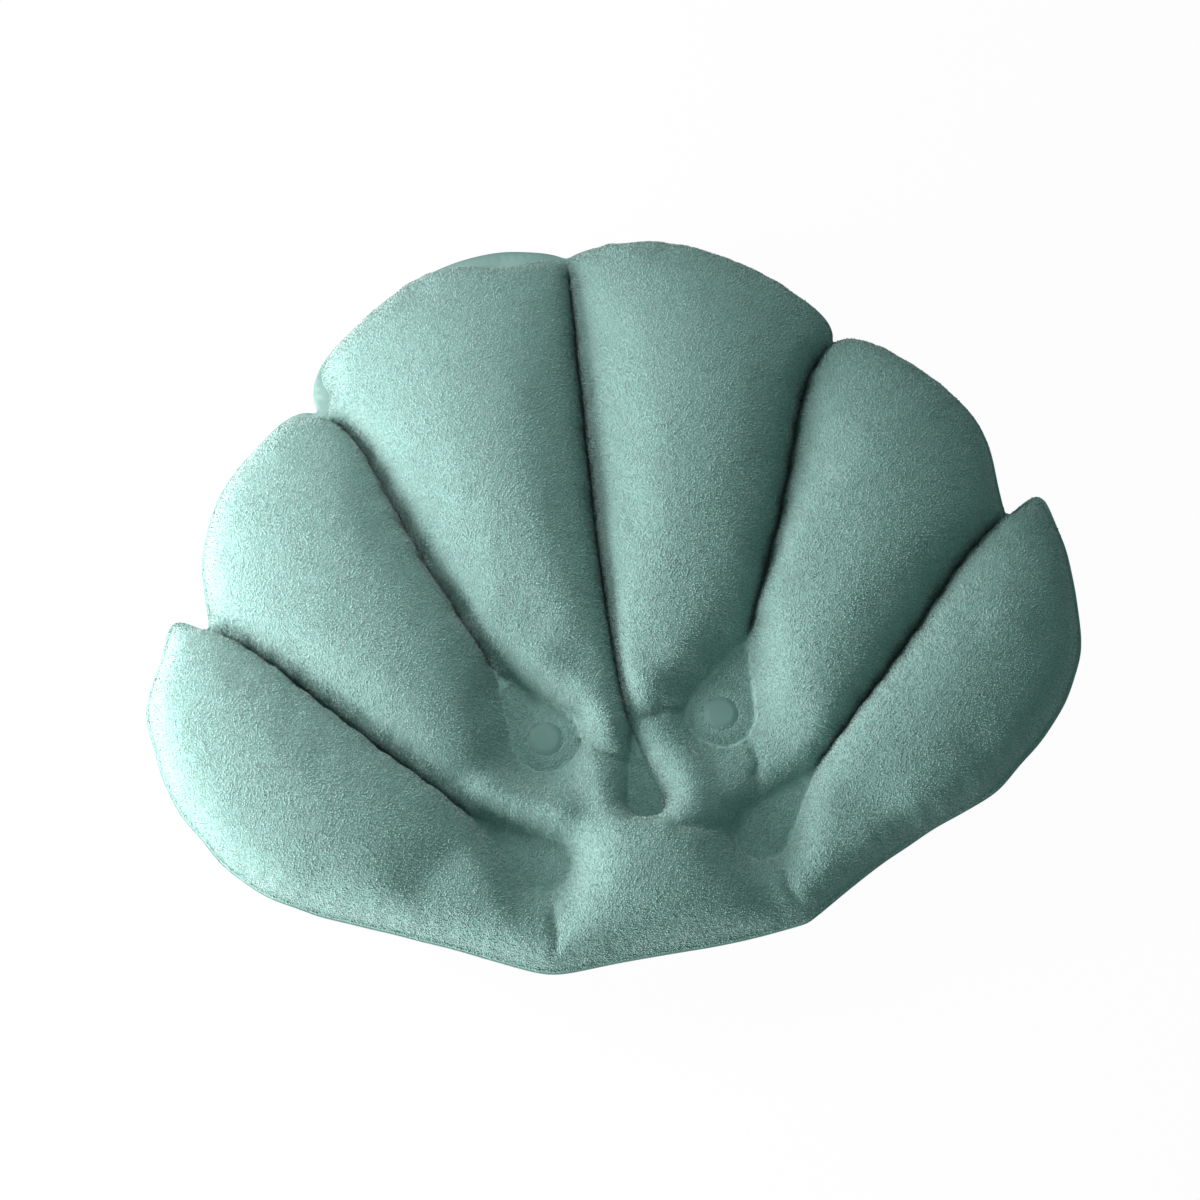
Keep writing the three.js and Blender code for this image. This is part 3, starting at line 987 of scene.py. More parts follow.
    def _half(self, rim: RimHalf) -> np.ndarray:
        """One half of the trimmed edge, from the middle of the base to just before the crown's notch.

        Args:
            rim: The half's rim.

        Returns:
            The edge's points, with those of the left half still on the right.
        """
        corner = np.array(rim.base_corner, float)
        outer, cup, crown = polar(*self.outer_rim), polar(self.cup_rim[0], rim.cup_reach), polar(*self.crown_rim)
        crown = crown * [1 if rim is RIGHT_RIM else -1, 1]
        share = np.linspace(0.0, 1.0, 40)
        base = np.stack([share * corner[0], corner[1] * share ** 2 - self.base_bow * (1 - share ** 2)], axis=1)
        edges = [base, self._side(corner, outer, rim.side_points),
                 self._scallop(outer, cup, self.shoulder_bulge, (self.outer_notch_ease, self.cup_notch_ease)),
                 self._scallop(cup, crown, rim.crown_bulge, (self.cup_notch_ease, self.crown_notch_ease))]
        return np.concatenate([respaced(e, self.step)[:-1] for e in edges])

    def outline(self) -> np.ndarray:
        """The trimmed edge.

        Returns:
            Its points, anticlockwise from the middle of the base.
        """
        left = self._half(LEFT_RIM)[1:][::-1] * [-1, 1]
        loop = np.concatenate([self._half(RIGHT_RIM), polar(*self.crown_rim)[None], left])
        for _ in range(self.corner_rounds):
            mean = (np.roll(loop, 1, axis=0) + np.roll(loop, -1, axis=0)) / 2
            by_corner = (loop[:, 1:] < self.corner_top) & (loop[:, :1] < self.corner_right)
            loop = np.where(by_corner, (loop + mean) / 2, loop)
        return loop

    def _puckers(self, loop: np.ndarray) -> np.ndarray:
        """How far the rim is drawn in at each of its points.

        Args:
            loop: The rim's points.

        Returns:
            One value per point, from 0 to 1.
        """
        along = np.concatenate([[0.0], np.cumsum(np.linalg.norm(np.diff(loop, axis=0), axis=1))])
        wave = sum(share * np.sin(along / length + start) for length, start, share in self.pucker_waves)
        calm = np.clip(loop[:, 1] / self.calm_height, self.calm_least, 1.0)
        return np.clip(0.5 + self.pucker_swing * wave, 0.0, 1.0) * calm

    def _tucks(self, loop: np.ndarray) -> np.ndarray:
        """How far the terry stops short of the film at each point of the rim."""
        return sum(depth * np.exp(-(np.hypot(loop[:, 0] - x, loop[:, 1] - y) / reach) ** 2)
                   for depth, x, y, reach in self.tucks)

    @staticmethod
    def _inset(loop: np.ndarray, distance: np.ndarray | float) -> np.ndarray:
        """A loop moved inwards.

        Args:
            loop: The loop's points, anticlockwise.
            distance: How far, for all of the points or for each.

        Returns:
            The moved points.
        """
        run = np.roll(loop, -1, axis=0) - np.roll(loop, 1, axis=0)
        run /= np.linalg.norm(run, axis=1)[:, None]
        inward = np.stack([-run[:, 1], run[:, 0]], axis=1)
        return loop + inward * np.broadcast_to(distance, len(loop))[:, None]

    @staticmethod
    def _ring(centre: np.ndarray, radius: float, count: int) -> np.ndarray:
        """A closed ring of points."""
        turns = np.arange(count) * 2 * math.pi / count
        return centre + radius * np.stack([np.cos(turns), np.sin(turns)], axis=1)

    def valve_centre(self) -> np.ndarray:
        """The valve's axis in plan."""
        return np.array([0.0, self.valve_reach])

    def weld_lines(self, step: float) -> list[np.ndarray]:
        """The five weld lines."""
        return [s.weld_line(self.seam_inset, step) for s in self.spots]

    @staticmethod
    def folds() -> list[Fold]:
        """The slack sheet's folds.

        Returns:
            Two by the base's corners, three at the ends of lobes and one below the middle spot.
        """
        return [
            Fold(((-50, 30), (-50.4, 12), (-51, 1)), 3.2),
            Fold(((54.5, 33), (57.5, 20), (61.5, 7.5)), 3.2),
            Fold(((-25, 105.5), (-17.5, 97.5), (-9.5, 91.5), (-5.4, 91)), 4.4, 0.15),
            Fold(((1.5, 108.5), (9, 111), (18, 114), (24.5, 112)), 3.8, 0.65),
            Fold(((51.4, 95.5), (53.5, 84), (50.5, 73), (50, 64)), 3.2, 0.4),
            Fold(((10, 50.5), (19.5, 52), (31, 51)), 3.6),
        ]

    def mesh(self) -> PlanMesh:
        """Triangulates the plan.

        Returns:
            The plan's mesh, with points on every edge and weld.
        """
        trimmed = self.outline()
        puckers = self._puckers(trimmed)
        film_edge = self._inset(trimmed, self.pucker_depth * puckers)
        tucks = self._tucks(film_edge)
        terry_edge = self._inset(film_edge, self.terry_inset + tucks)
        seam = self._inset(film_edge, self.seam_inset + tucks)
        drops = [s.outline(self.step * self.drop_step) for s in self.spots]
        lines = self.weld_lines(self.step)
        valve_radii = ((self.valve_hole, 16), (self.valve_seat, 28), (self.valve_seat + self.valve_border, 28))
        valve_rings = [self._ring(self.valve_centre(), radius, count) for radius, count in valve_radii]
        neck_rings = [self._ring(s.centre(), self.neck_hole, 14) for s in self.cup_spots()]
        loops = [film_edge, terry_edge, seam, *drops, *valve_rings, *neck_rings]
        folds = [fold.line() for fold in self.folds()]
        points, edges, welded = [], [], []
        count = 0
        for number, part in enumerate([*loops, *lines, *folds]):
            closed = number < len(loops)
            links = len(part) if closed else len(part) - 1
            edges += [(count + i, count + (i + 1) % len(part)) for i in range(links)]
            count += len(part)
            points.append(part)
            is_loose = any(part is other for other in [*valve_rings, *folds])
            welded.append(np.full(len(part), not is_loose))
        fixed = np.concatenate(points)
        fill = self._fill(seam, fixed)
        every = np.concatenate([fixed, fill])
        is_welded = np.concatenate([*welded, np.zeros(len(fill), bool)])
        for drop in drops:
            is_welded |= inside(drop, every)
        found = delaunay_2d_cdt([Vector(p) for p in every], edges, [], 1, 1e-4)
        places = np.array([tuple(v) for v in found[0]])
        triangles = np.array([tuple(f) for f in found[2]])
        kept_welded = np.array([any(is_welded[i] for i in source) for source in found[3]])
        kept_film = np.array([any(i < len(film_edge) for i in source) for source in found[3]])
        triangles = triangles[inside(film_edge, places[triangles].mean(1))]
        a, b, c = (places[triangles[:, k]] for k in range(3))
        turned = (b[:, 0] - a[:, 0]) * (c[:, 1] - a[:, 1]) < (b[:, 1] - a[:, 1]) * (c[:, 0] - a[:, 0])
        triangles[turned] = triangles[turned][:, ::-1]
        used, triangles = without_spares(triangles, len(places))
        places = places[used]
        island = np.zeros(len(places), bool)
        for drop in drops:
            island |= inside(drop, places)
        each_spot = [nearest(places, s.outline(FINE_STEP))[0] for s in self.spots]
        line_distance = nearest(places, np.concatenate(self.weld_lines(FINE_STEP)))[0]
        prints = [distance / s.print_width for distance, s in zip(each_spot, self.spots)]
        sharp = np.min([line_distance, *(d for d, s in zip(each_spot, self.spots) if s.crisp)], axis=0)
        return PlanMesh(
            points=places, triangles=triangles, welded=kept_welded[used],
            on_weld=sharp < ON_LINE, film_edge=kept_film[used], island=island,
            rim_distance=nearest(places, respaced(np.concatenate([seam, seam[:1]]), 1.0))[0],
            spot_distance=np.min(each_spot, axis=0),
            steep_distance=nearest(places, np.concatenate(self._steep_lines()))[0],
            print_distance=np.min([2 * line_distance, *prints], axis=0),
            head_distance=nearest(places, np.array([s.centre() for s in self.cup_spots()]))[0],
            slack=self._slack(places), folds=[fold.depths(places) for fold in self.folds()],
            level=self._levels(places), fullness=self._fullness(places),
            pucker=puckers[nearest(places, film_edge)[1]])

    def _steep_lines(self) -> list[np.ndarray]:
        """The lines beside which the sheets rise steeply.

        Returns:
            The weld lines, some spots' flanks and the folds that are held low.
        """
        held = [fold for fold in self.folds() if fold.level < 0.5]
        return [*self.weld_lines(FINE_STEP), self.spots[-1].outline(FINE_STEP),
                self.cup_spots()[0].inner_flank(FINE_STEP), self.spots[0].inner_flank(FINE_STEP),
                *(respaced(fold.line(), FINE_STEP) for fold in held)]

    def _levels(self, points: np.ndarray) -> np.ndarray:
        """The share of the height that stands at each point: 1 apart from the folds that hold the sheet down.

        Args:
            points: Plan points.

        Returns:
            One share per point.
        """
        levels = np.ones(len(points))
        for fold in self.folds():
            distance = nearest(points, respaced(fold.line(), FINE_STEP))[0]
            levels = np.where(distance < self.hold_reach, np.minimum(levels, fold.level), levels)
        return levels

    def _slack(self, points: np.ndarray) -> np.ndarray:
        """How slack the sheets are at each point: about the spots, less where a lobe's end is full.

        Args:
            points: Plan points.

        Returns:
            One value per point, from 0 to 1.
        """
        slack = np.max([s.slackness(points) for s in self.spots], axis=0)
        for place in self.full_places:
            slack *= 1 - place.nearness(points)
        return np.max([slack, *(place.change * place.nearness(points) for place in self.low_places)], axis=0)

    def _fullness(self, points: np.ndarray) -> np.ndarray:
        """How much higher than a plain membrane the sheets stand at each point."""
        return 1 + np.sum([place.change * place.nearness(points) for place in self.full_places], axis=0)

    def _fill(self, seam: np.ndarray, fixed: np.ndarray) -> np.ndarray:
        """Even points over the sheet, clear of the fixed ones.

        Args:
            seam: The loop that they lie in.
            fixed: The points that they keep clear of.

        Returns:
            The points.
        """
        low, high = seam.min(0), seam.max(0)
        row = self.step * math.sqrt(0.75)
        ys = np.arange(low[1], high[1], row)
        xs = np.arange(low[0], high[0], self.step)
        grid = np.array([[x + (j % 2) * self.step / 2, y] for j, y in enumerate(ys) for x in xs])
        grid = grid[inside(seam, grid)]
        return grid[nearest(grid, fixed)[0] > self.clear_step * self.step]


# The blown-up bag


@dataclass
class Bag:
    """The two sheets after blowing up, as one point per plan point on each side, in metres."""

    plan: PlanMesh
    front: np.ndarray
    back: np.ndarray


@dataclass
class Inflation:
    """Blows the plan up: first the height of a tight membrane, then cloth under pressure. Millimetres."""

    plan: ShellPlan
    weld_height: float
    shift: float
    half_span: float
    valve_seat_height: float
    front_plumpness: float = 0.78
    back_plumpness: float = 0.61
    first_rise: float = 1.2
    membrane_rounds: int = 600
    crease_fullness: float = 0.6
    crease_reach: float = 9.0
    rim_fullness: float = 0.6
    spot_slack: float = 0.88
    crowding: float = 4.2
    crowding_reach: float = 6.0
    crowding_start: float = 18.0
    flat_half_width: float = 70.0
    side_rise: float = 9.0
    pucker_rise: float = 2.4
    pucker_reach: float = 14.0
    pucker_base: float = 40.0
    pressure: float = 6.0
    stretch: float = 0.012
    stiffness: float = 40.0
    bending: float = 15.0
    frames: int = 20
    lobe_gap: float = 1.5
    lobe_reach: float = 30.0
    smoothing: float = 0.4
    front_rounds: int = 3
    back_rounds: int = 12
    floor_gap: float = 0.5
    cup_room: float = 24.0
    cup_room_height: float = 13.5
    seat_border: float = 1.3
    seat_slope: float = 14.0
    seat_edge: float = 0.3
    seat_depth: float = 0.35

    def run(self) -> Bag:
        """Blows the bag up.

        Returns:
            Both sheets' points.
        """
        mesh = self.plan.mesh()
        swell = self._membrane(mesh)
        x = mesh.points[:, 0]
        rest = self.weld_height + self.side_rise * (
            np.maximum(0, np.abs(x) - self.flat_half_width) / (self.half_span - self.flat_half_width)) ** 2
        off_base = np.clip(mesh.points[:, 1] / self.pucker_base, 0.0, 1.0)
        rim = np.exp(-mesh.rim_distance / self.pucker_reach) * off_base
        rest = rest + self.pucker_rise * (mesh.pucker - 0.5) * rim * ~mesh.island
        rest = rest + sum(spot.slope(mesh.points) for spot in self.plan.spots)
        beside = np.exp(-mesh.steep_distance / self.crease_reach)
        by_rim = self.rim_fullness * np.exp(-mesh.rim_distance / self.crease_reach)
        swell *= 1 + self.crease_fullness * np.maximum(beside, by_rim)
        swell *= mesh.fullness * (1 - self.spot_slack * mesh.slack)
        free = ~mesh.welded
        front_z = rest + (self.first_rise + self.front_plumpness * swell) * free
        back_z = rest - self.back_plumpness * swell
        plan_y = mesh.points[:, 1] + self.shift
        front = np.column_stack([self._crowded(mesh) + [0.0, self.shift], front_z]) * MM
        back = np.stack([x, plan_y, back_z], axis=1) * MM
        front, back = self._cloth(mesh, front, back)
        front, back = self._settle(mesh, front / MM, back / MM)
        return Bag(mesh, front * MM, back * MM)

    def _crowded(self, mesh: PlanMesh) -> np.ndarray:
        """Leans each lobe over its weld lines until it meets the next lobe.

        Args:
            mesh: The plan's mesh.

        Returns:
            The moved plan points.
        """
        places = mesh.points.copy()
        for line in self.plan.weld_lines(1.0):
            normal = sideways(line)
            distance, number = nearest(mesh.points, line)
            side = np.sign(((mesh.points - line[number]) * normal[number]).sum(1))
            past_tip = np.clip(number / self.crowding_start, 0.0, 1.0)
            lean = self.crowding * np.exp(-distance / self.crowding_reach) * past_tip * ~mesh.welded
            places -= (lean * side)[:, None] * normal[number]
        return places

    def _membrane(self, mesh: PlanMesh) -> np.ndarray:
        """The height of an evenly pressed membrane that is held at the welds.

        Args:
            mesh: The plan's mesh.

        Returns:
            One height per point.
        """
        points, triangles = mesh.points, mesh.triangles
        count = len(points)
        rows, columns, weights = [], [], []
        load = np.zeros(count)
        for k in range(3):
            i, j, apex = (triangles[:, (k + n) % 3] for n in range(3))
            u, v = points[i] - points[apex], points[j] - points[apex]
            cross = u[:, 0] * v[:, 1] - u[:, 1] * v[:, 0]
            weight = (u * v).sum(1) / cross / 2
            rows += [i, j]
            columns += [j, i]
            weights += [weight, weight]
            np.add.at(load, apex, cross / 6)
        row, column, weight = (np.concatenate(q) for q in (rows, columns, weights))
        diagonal = np.bincount(row, weight, count)

        def pull(value: np.ndarray) -> np.ndarray:
            """The membrane's pull at each point."""
            return diagonal * value - np.bincount(row, weight * value[column], count)

        def settle(free: np.ndarray, height: np.ndarray) -> np.ndarray:
            """The height at which the pull balances the load.

            Args:
                free: Which points move.
                height: The height to start from, which the other points keep.

            Returns:
                One height per point.
            """
            left = np.where(free, load - pull(height), 0.0)
            way = left / diagonal
            size = left @ way
            for _ in range(self.membrane_rounds):
                pulled = np.where(free, pull(way), 0.0)
                share = size / (way @ pulled)
                height = height + share * way
                left = left - share * pulled
                if np.abs(left).max() < TINY * load.max():
                    break
                smooth = left / diagonal
                size, old = left @ smooth, size
                way = smooth + size / old * way
            return height

        loose = settle(~mesh.welded, np.zeros(count))
        folded = mesh.level < 1
        height = settle(~mesh.welded & ~folded, np.where(folded, mesh.level ** 2 * loose, 0.0))
        return np.sqrt(2 * np.maximum(height, 0.0))

    def _cloth(self, mesh: PlanMesh, front: np.ndarray, back: np.ndarray) -> tuple[np.ndarray, np.ndarray]:
        """Lets pressure fill the bag, held at its welds.

        Args:
            mesh: The plan's mesh.
            front: The front's points before.
            back: The back's points before.

        Returns:
            The front's and back's points after.
        """
        count = len(front)
        free = ~mesh.welded
        back_number = np.arange(count)
        back_number[free] = count + np.arange(free.sum())
        faces = [tuple(t) for t in mesh.triangles]
        loose = ~mesh.welded[mesh.triangles].all(1)
        faces += [tuple(back_number[t][::-1]) for t in mesh.triangles[loose]]
        bag = new_piece("bag", np.concatenate([front, back[free]]), faces, bpy.data.materials.new("bag"))
        pins = bag.vertex_groups.new(name="welds")
        pins.add([int(i) for i in np.flatnonzero(mesh.welded)], 1.0, "REPLACE")
        cloth = bag.modifiers.new("cloth", "CLOTH")
        cloth.point_cache.frame_start = 1
        cloth.point_cache.frame_end = self.frames + 1
        cloth.collision_settings.use_collision = False
        settings = cloth.settings
        settings.vertex_group_mass = pins.name
        settings.quality = 6
        settings.mass = 0.3
        settings.use_pressure = True
        settings.uniform_pressure_force = self.pressure
        settings.shrink_min = settings.shrink_max = -self.stretch
        settings.tension_stiffness = settings.compression_stiffness = self.stiffness
        settings.shear_stiffness = self.stiffness / 3
        settings.bending_stiffness = self.bending
        settings.effector_weights.gravity = 0.0
        for number in range(1, self.frames + 1):
            bpy.context.scene.frame_set(number)
        apply_modifiers(bag)
        places = np.empty(len(bag.data.vertices) * 3)
        bag.data.vertices.foreach_get("co", places)
        places = places.reshape(-1, 3)
        spare = bag.data
        bpy.data.objects.remove(bag)
        bpy.data.meshes.remove(spare)
        bpy.context.scene.frame_set(1)
        return places[:count], places[back_number]

    def _settle(self, mesh: PlanMesh, front: np.ndarray, back: np.ndarray) -> tuple[np.ndarray, np.ndarray]:
        """Smooths both sheets and keeps lobes apart, above the floor and clear of the cups and the valve's seat.

        Args:
            mesh: The plan's mesh.
            front: The front's points before, in millimetres.
            back: The back's points before, in millimetres.

        Returns:
            The front's and back's points after.
        """
        for sheet, rounds in ((front, self.front_rounds), (back, self.back_rounds)):
            self._keep_apart(mesh, sheet)
            self._smooth(mesh, sheet, rounds)
            self._keep_apart(mesh, sheet)
        normals = point_normals(front, mesh.triangles)
        for depth in mesh.folds:
            inward = (normals * depth[:, None]).sum(0)
            front -= inward / np.linalg.norm(inward) * (depth * ~mesh.welded)[:, None]
        back[:, 2] = np.maximum(back[:, 2], self.floor_gap)
        for spot in self.plan.cup_spots():
            middle = spot.centre() + [0.0, self.shift]
            reach = np.hypot(*(back[:, :2] - middle).T)
            lift = self.cup_room_height * np.sqrt(np.clip(1 - (reach / self.cup_room) ** 2, 0.0, 1.0))
            back[:, 2] = np.where(mesh.welded, back[:, 2], np.maximum(back[:, 2], lift))
        valve = self.plan.valve_centre()
        reach = np.hypot(*(mesh.points - valve).T)
        seat = 1 - np.clip((reach - self.plan.valve_seat - self.seat_border) / self.seat_slope, 0.0, 1.0)
        seat = (seat * seat * (3 - 2 * seat))[:, None]
        flat = np.column_stack([mesh.points + [0.0, self.shift], np.full(len(back), self.valve_seat_height)])
        flat[reach < self.plan.valve_seat + self.seat_edge, 2] -= self.seat_depth
        back[:] = back + (flat - back) * seat * (~mesh.welded)[:, None]
        return front, back

    def _smooth(self, mesh: PlanMesh, sheet: np.ndarray, rounds: int) -> None:
        """Evens a sheet out, in place.

        Args:
            mesh: The plan's mesh.
            sheet: The sheet's points.
            rounds: How often each point moves towards its neighbours.
        """
        row = np.concatenate([mesh.triangles[:, k] for k in (0, 1, 2, 1, 2, 0)])
        column = np.concatenate([mesh.triangles[:, k] for k in (1, 2, 0, 0, 1, 2)])
        count = len(sheet)
        degree = np.bincount(row, minlength=count)
        for _ in range(rounds):
            mean = np.stack([np.bincount(row, sheet[column, k], count) / degree for k in range(3)], axis=1)
            sheet[:] = np.where(mesh.welded[:, None], sheet, sheet + self.smoothing * (mean - sheet))

    def _keep_apart(self, mesh: PlanMesh, sheet: np.ndarray) -> None:
        """Stops each lobe at the upright plane over its welds, in place.

        Args:
            mesh: The plan's mesh.
            sheet: The sheet's points.
        """
        for line in self.plan.weld_lines(1.0):
            normal = sideways(line)
            before, near_before = nearest(mesh.points, line)
            flat = sheet[:, :2] - [0.0, self.shift]
            near_after = nearest(flat, line)[1]
            side = np.sign(((mesh.points - line[near_before]) * normal[near_before]).sum(1))
            now = ((flat - line[near_after]) * normal[near_after]).sum(1) * side
            wanted = np.minimum(self.lobe_gap, before)
            beside = (near_before > 0) & (near_after > 0) & (before < self.lobe_reach) & ~mesh.welded
            move = np.where(beside & (now < wanted), wanted - now, 0.0) * side
            sheet[:, :2] += move[:, None] * normal[near_after]


# Sheets


def point_normals(points: np.ndarray, triangles: np.ndarray) -> np.ndarray:
    """The normal at each point of a triangle mesh.

    Args:
        points: The points.
        triangles: The triangles.

    Returns:
        Unit normals, one row per point.
    """
    a, b, c = (points[triangles[:, k]] for k in range(3))
    face = np.cross(b - a, c - a)
    total = np.zeros_like(points)
    for k in range(3):
        np.add.at(total, triangles[:, k], face)
    length = np.linalg.norm(total, axis=1)
    return total / np.maximum(length, 1e-12)[:, None]


@dataclass
class Sheet:
    """One sheet of the bag, given its thickness."""

    name: str
    side: Side
    nodes: tuple[str, ...]
    slot: Slot
    loft: float
    thickness: float
    trimmed: bool
    fill: float = 0.85
    smooth: bool = True
    island_loft: float = 0.0
    skin: bpy.types.Mesh | None = None

    def build(self, bag: Bag, material: bpy.types.Material, holes: Sequence[tuple[np.ndarray, float]]
              ) -> bpy.types.Object:
        """Builds the sheet.

        Args:
            bag: The blown-up bag.
            material: The sheet's material.
            holes: Centres and radii in plan of the round holes in it.

        Returns:
            The piece.
        """
        plan = bag.plan
        points = bag.front if self.side is Side.FRONT else bag.back
        triangles = plan.triangles if self.side is Side.FRONT else plan.triangles[:, ::-1]
        if self.trimmed:
            triangles = triangles[~plan.film_edge[triangles].any(1)]
        middles = plan.points[triangles].mean(1)
        for centre, radius in holes:
            triangles = triangles[np.hypot(*(middles - centre).T) > radius]
            middles = plan.points[triangles].mean(1)
        used, triangles = without_spares(triangles, len(points))
        points = points[used]
        normals = point_normals(points, triangles)
        normals[plan.welded[used]] = (0.0, 0.0, float(self.side.value))
        loft = self.loft + self.island_loft * plan.puff()[used]
        piece = new_piece(self.name, points + normals * loft[:, None], triangles, material)
        give_values(piece, "weld_distance", plan.print_distance[used])
        give_values(piece, "head_distance", plan.head_distance[used])
        if self.smooth:
            on_spot = (plan.spot_distance < ON_LINE) & (self.side is Side.BACK)
            keep_sharp(piece, (plan.on_weld | on_spot)[used])
            finer = piece.modifiers.new("finer", "SUBSURF")
            finer.levels = finer.render_levels = 1
            finer.boundary_smooth = "PRESERVE_CORNERS"
            apply_modifiers(piece)
        self.skin = piece.data.copy()
        wall = piece.modifiers.new("wall", "SOLIDIFY")
        wall.thickness = self.thickness
        wall.offset = -1.0
        wall.use_rim = True
        apply_modifiers(piece)
        return piece

    def dress(self, piece: bpy.types.Object) -> None:
        """Puts the sheet on the pillow in place of its solid.

        Args:
            piece: The built sheet.
        """
        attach(piece, "pillow")
        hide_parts(*self.nodes)


# Loops of the terry


@dataclass
class TerryPile:
    """The loops of yarn that stand on the terry, laid over it by Geometry Nodes."""

    spacing: float = 0.8 * MM
    height: float = 0.6 * MM
    width: float = 0.95 * MM
    yarn: float = 0.45 * MM
    lean: float = 0.35
    bar: float = 0.9 * MM
    crushed: float = 0.35
    head: float = 7.9 * MM
    bar_fade: float = 1.0
    head_fade: float = 0.5
    density: float = 4.0e6
    growth: tuple[float, float] = (0.8, 1.25)
    foot: float = -0.25
    arch: float = 2.25
    chance: float = 0.7
    chance_share: float = 1.4
    streak_share: float = 1.8
    shade_start: float = 0.9
    streaks: tuple[float, float, float] = (60.0, 380.0, 60.0)
    seed: int = 11

    def _tree(self) -> bpy.types.NodeTree:
        """Builds the node tree.

        Returns:
            The tree, which lays the loops of one shade.
        """
        group = bpy.data.node_groups.new("terry_pile", "GeometryNodeTree")
        sockets = {"Geometry": "Geometry", "Spacing": "Float", "Height": "Float", "Width": "Float", "Yarn": "Float",
                   "Lean": "Float", "Shade": "Int", "Seed": "Int", "Dye": "Material"}
        for name, kind in sockets.items():
            group.interface.new_socket(name, in_out="INPUT", socket_type=f"NodeSocket{kind}")
        group.interface.new_socket("Geometry", in_out="OUTPUT", socket_type="NodeSocketGeometry")
        tree = NodeTree(group)
        given = tree.add("NodeGroupInput")
        size = {name: tree.out(given, name) for name in sockets}
        points = tree.add("GeometryNodeDistributePointsOnFaces", {"distribute_method": "POISSON"}, {
            "Mesh": size["Geometry"], "Distance Min": size["Spacing"], "Density Max": self.density,
            "Density Factor": self._standing(tree), "Seed": size["Seed"]})
        chosen = tree.add("FunctionNodeCompare", {"data_type": "INT", "operation": "EQUAL"},
                          {2: self._shade(tree), 3: size["Shade"]})
        kept = tree.add("GeometryNodeSeparateGeometry", {}, {
            "Geometry": tree.out(points), "Selection": tree.out(chosen)})
        turned = tree.add("FunctionNodeRotateRotation", {"rotation_space": "LOCAL"}, {
            0: tree.out(points, "Rotation"), 1: self._turn(tree, size["Lean"])})
        grown = tree.add("FunctionNodeRandomValue", {}, {
            2: self.growth[0], 3: self.growth[1], 8: self.seed + 2})
        loops = tree.add("GeometryNodeInstanceOnPoints", {}, {
            "Points": tree.out(kept), "Instance": self._loop(tree, size), "Rotation": tree.out(turned),
            "Scale": tree.out(grown, 1)})
        real = tree.add("GeometryNodeRealizeInstances", {}, {"Geometry": tree.out(loops)})
        dyed = tree.add("GeometryNodeSetMaterial", {}, {"Geometry": tree.out(real), "Material": size["Dye"]})
        tree.add("NodeGroupOutput", {}, {"Geometry": tree.out(dyed)})
        return group

    def _shade(self, tree: NodeTree) -> Socket:
        """Chooses each loop's shade at random, but in faint streaks along the cloth's rows.

        Args:
            tree: The tree that is filled.

        Returns:
            The number of the shade.
        """
        place = tree.out(tree.add("GeometryNodeInputPosition"))
        rows = tree.add("ShaderNodeVectorMath", {"operation": "MULTIPLY"}, {0: place, 1: self.streaks})
        chance = tree.out(tree.add("FunctionNodeRandomValue", {}, {2: 0.0, 3: self.chance, 8: self.seed}), 1)
        streak = tree.noise(tree.out(rows), 1.0)
        share = self.chance_share * chance + self.streak_share * streak - self.shade_start
        number = share * len(YARNS)
        kept = tree.add("ShaderNodeClamp", {}, {0: number, 1: 0.0, 2: len(YARNS) - 0.01})
        return tree.out(tree.add("FunctionNodeFloatToInt", {"rounding_mode": "FLOOR"}, {0: tree.out(kept)}))

    def _standing(self, tree: NodeTree) -> Socket:
        """How many of the loops stand: few on a weld's bar and none under a cup's head.

        Args:
            tree: The tree that is filled.

        Returns:
            The share that stands.
        """
        share = []
        for name, start, fade in (("weld_distance", self.bar / MM, self.bar_fade),
                                  ("head_distance", self.head / MM, self.head_fade)):
            value = tree.add("GeometryNodeInputNamedAttribute", {"data_type": "FLOAT"}, {"Name": name})
            share.append(tree.step(tree.out(value), start, start + fade))
        return (self.crushed + (1 - self.crushed) * share[0]) * share[1]

    def _turn(self, tree: NodeTree, lean: Socket) -> Socket:
        """A random spin and lean.

        Args:
            tree: The tree that is filled.
            lean: The most that a loop leans, in radians.

        Returns:
            The rotation.
        """
        low = tree.add("ShaderNodeCombineXYZ", {}, {0: -1 * lean, 1: -1 * lean, 2: 0.0})
        high = tree.add("ShaderNodeCombineXYZ", {}, {0: lean, 1: lean, 2: 2 * math.pi})
        turn = tree.add("FunctionNodeRandomValue", {"data_type": "FLOAT_VECTOR"}, {
            0: tree.out(low), 1: tree.out(high), 8: self.seed + 1})
        return tree.out(tree.add("FunctionNodeEulerToRotation", {}, {0: tree.out(turn)}))

    def _loop(self, tree: NodeTree, size: dict[str, Socket]) -> Socket:
        """Makes one loop: a strip of yarn bent into an arch.

        Args:
            tree: The tree that is filled.
            size: The sizes of the loop by name.

        Returns:
            The loop's mesh.
        """
        foot, side = self.foot * size["Height"], 0.5 * size["Width"]
        ends = [tree.add("ShaderNodeCombineXYZ", {}, {0: x, 2: z}) for x, z in (
            (-1 * side, foot), (0.0, self.arch * size["Height"]), (side, foot))]
        arch = tree.add("GeometryNodeCurveQuadraticBezier", {}, {
            "Resolution": 2, **{n: tree.out(e) for n, e in zip(("Start", "Middle", "End"), ends)}})
        half = 0.5 * size["Yarn"]
        edges = [tree.add("ShaderNodeCombineXYZ", {}, {0: x}) for x in (-1 * half, half)]
        strip = tree.add("GeometryNodeCurvePrimitiveLine", {}, {
            "Start": tree.out(edges[0]), "End": tree.out(edges[1])})
        loop = tree.add("GeometryNodeCurveToMesh", {}, {0: tree.out(arch), 1: tree.out(strip)})
        return tree.out(tree.add("GeometryNodeSetShadeSmooth", {}, {"Geometry": tree.out(loop)}))

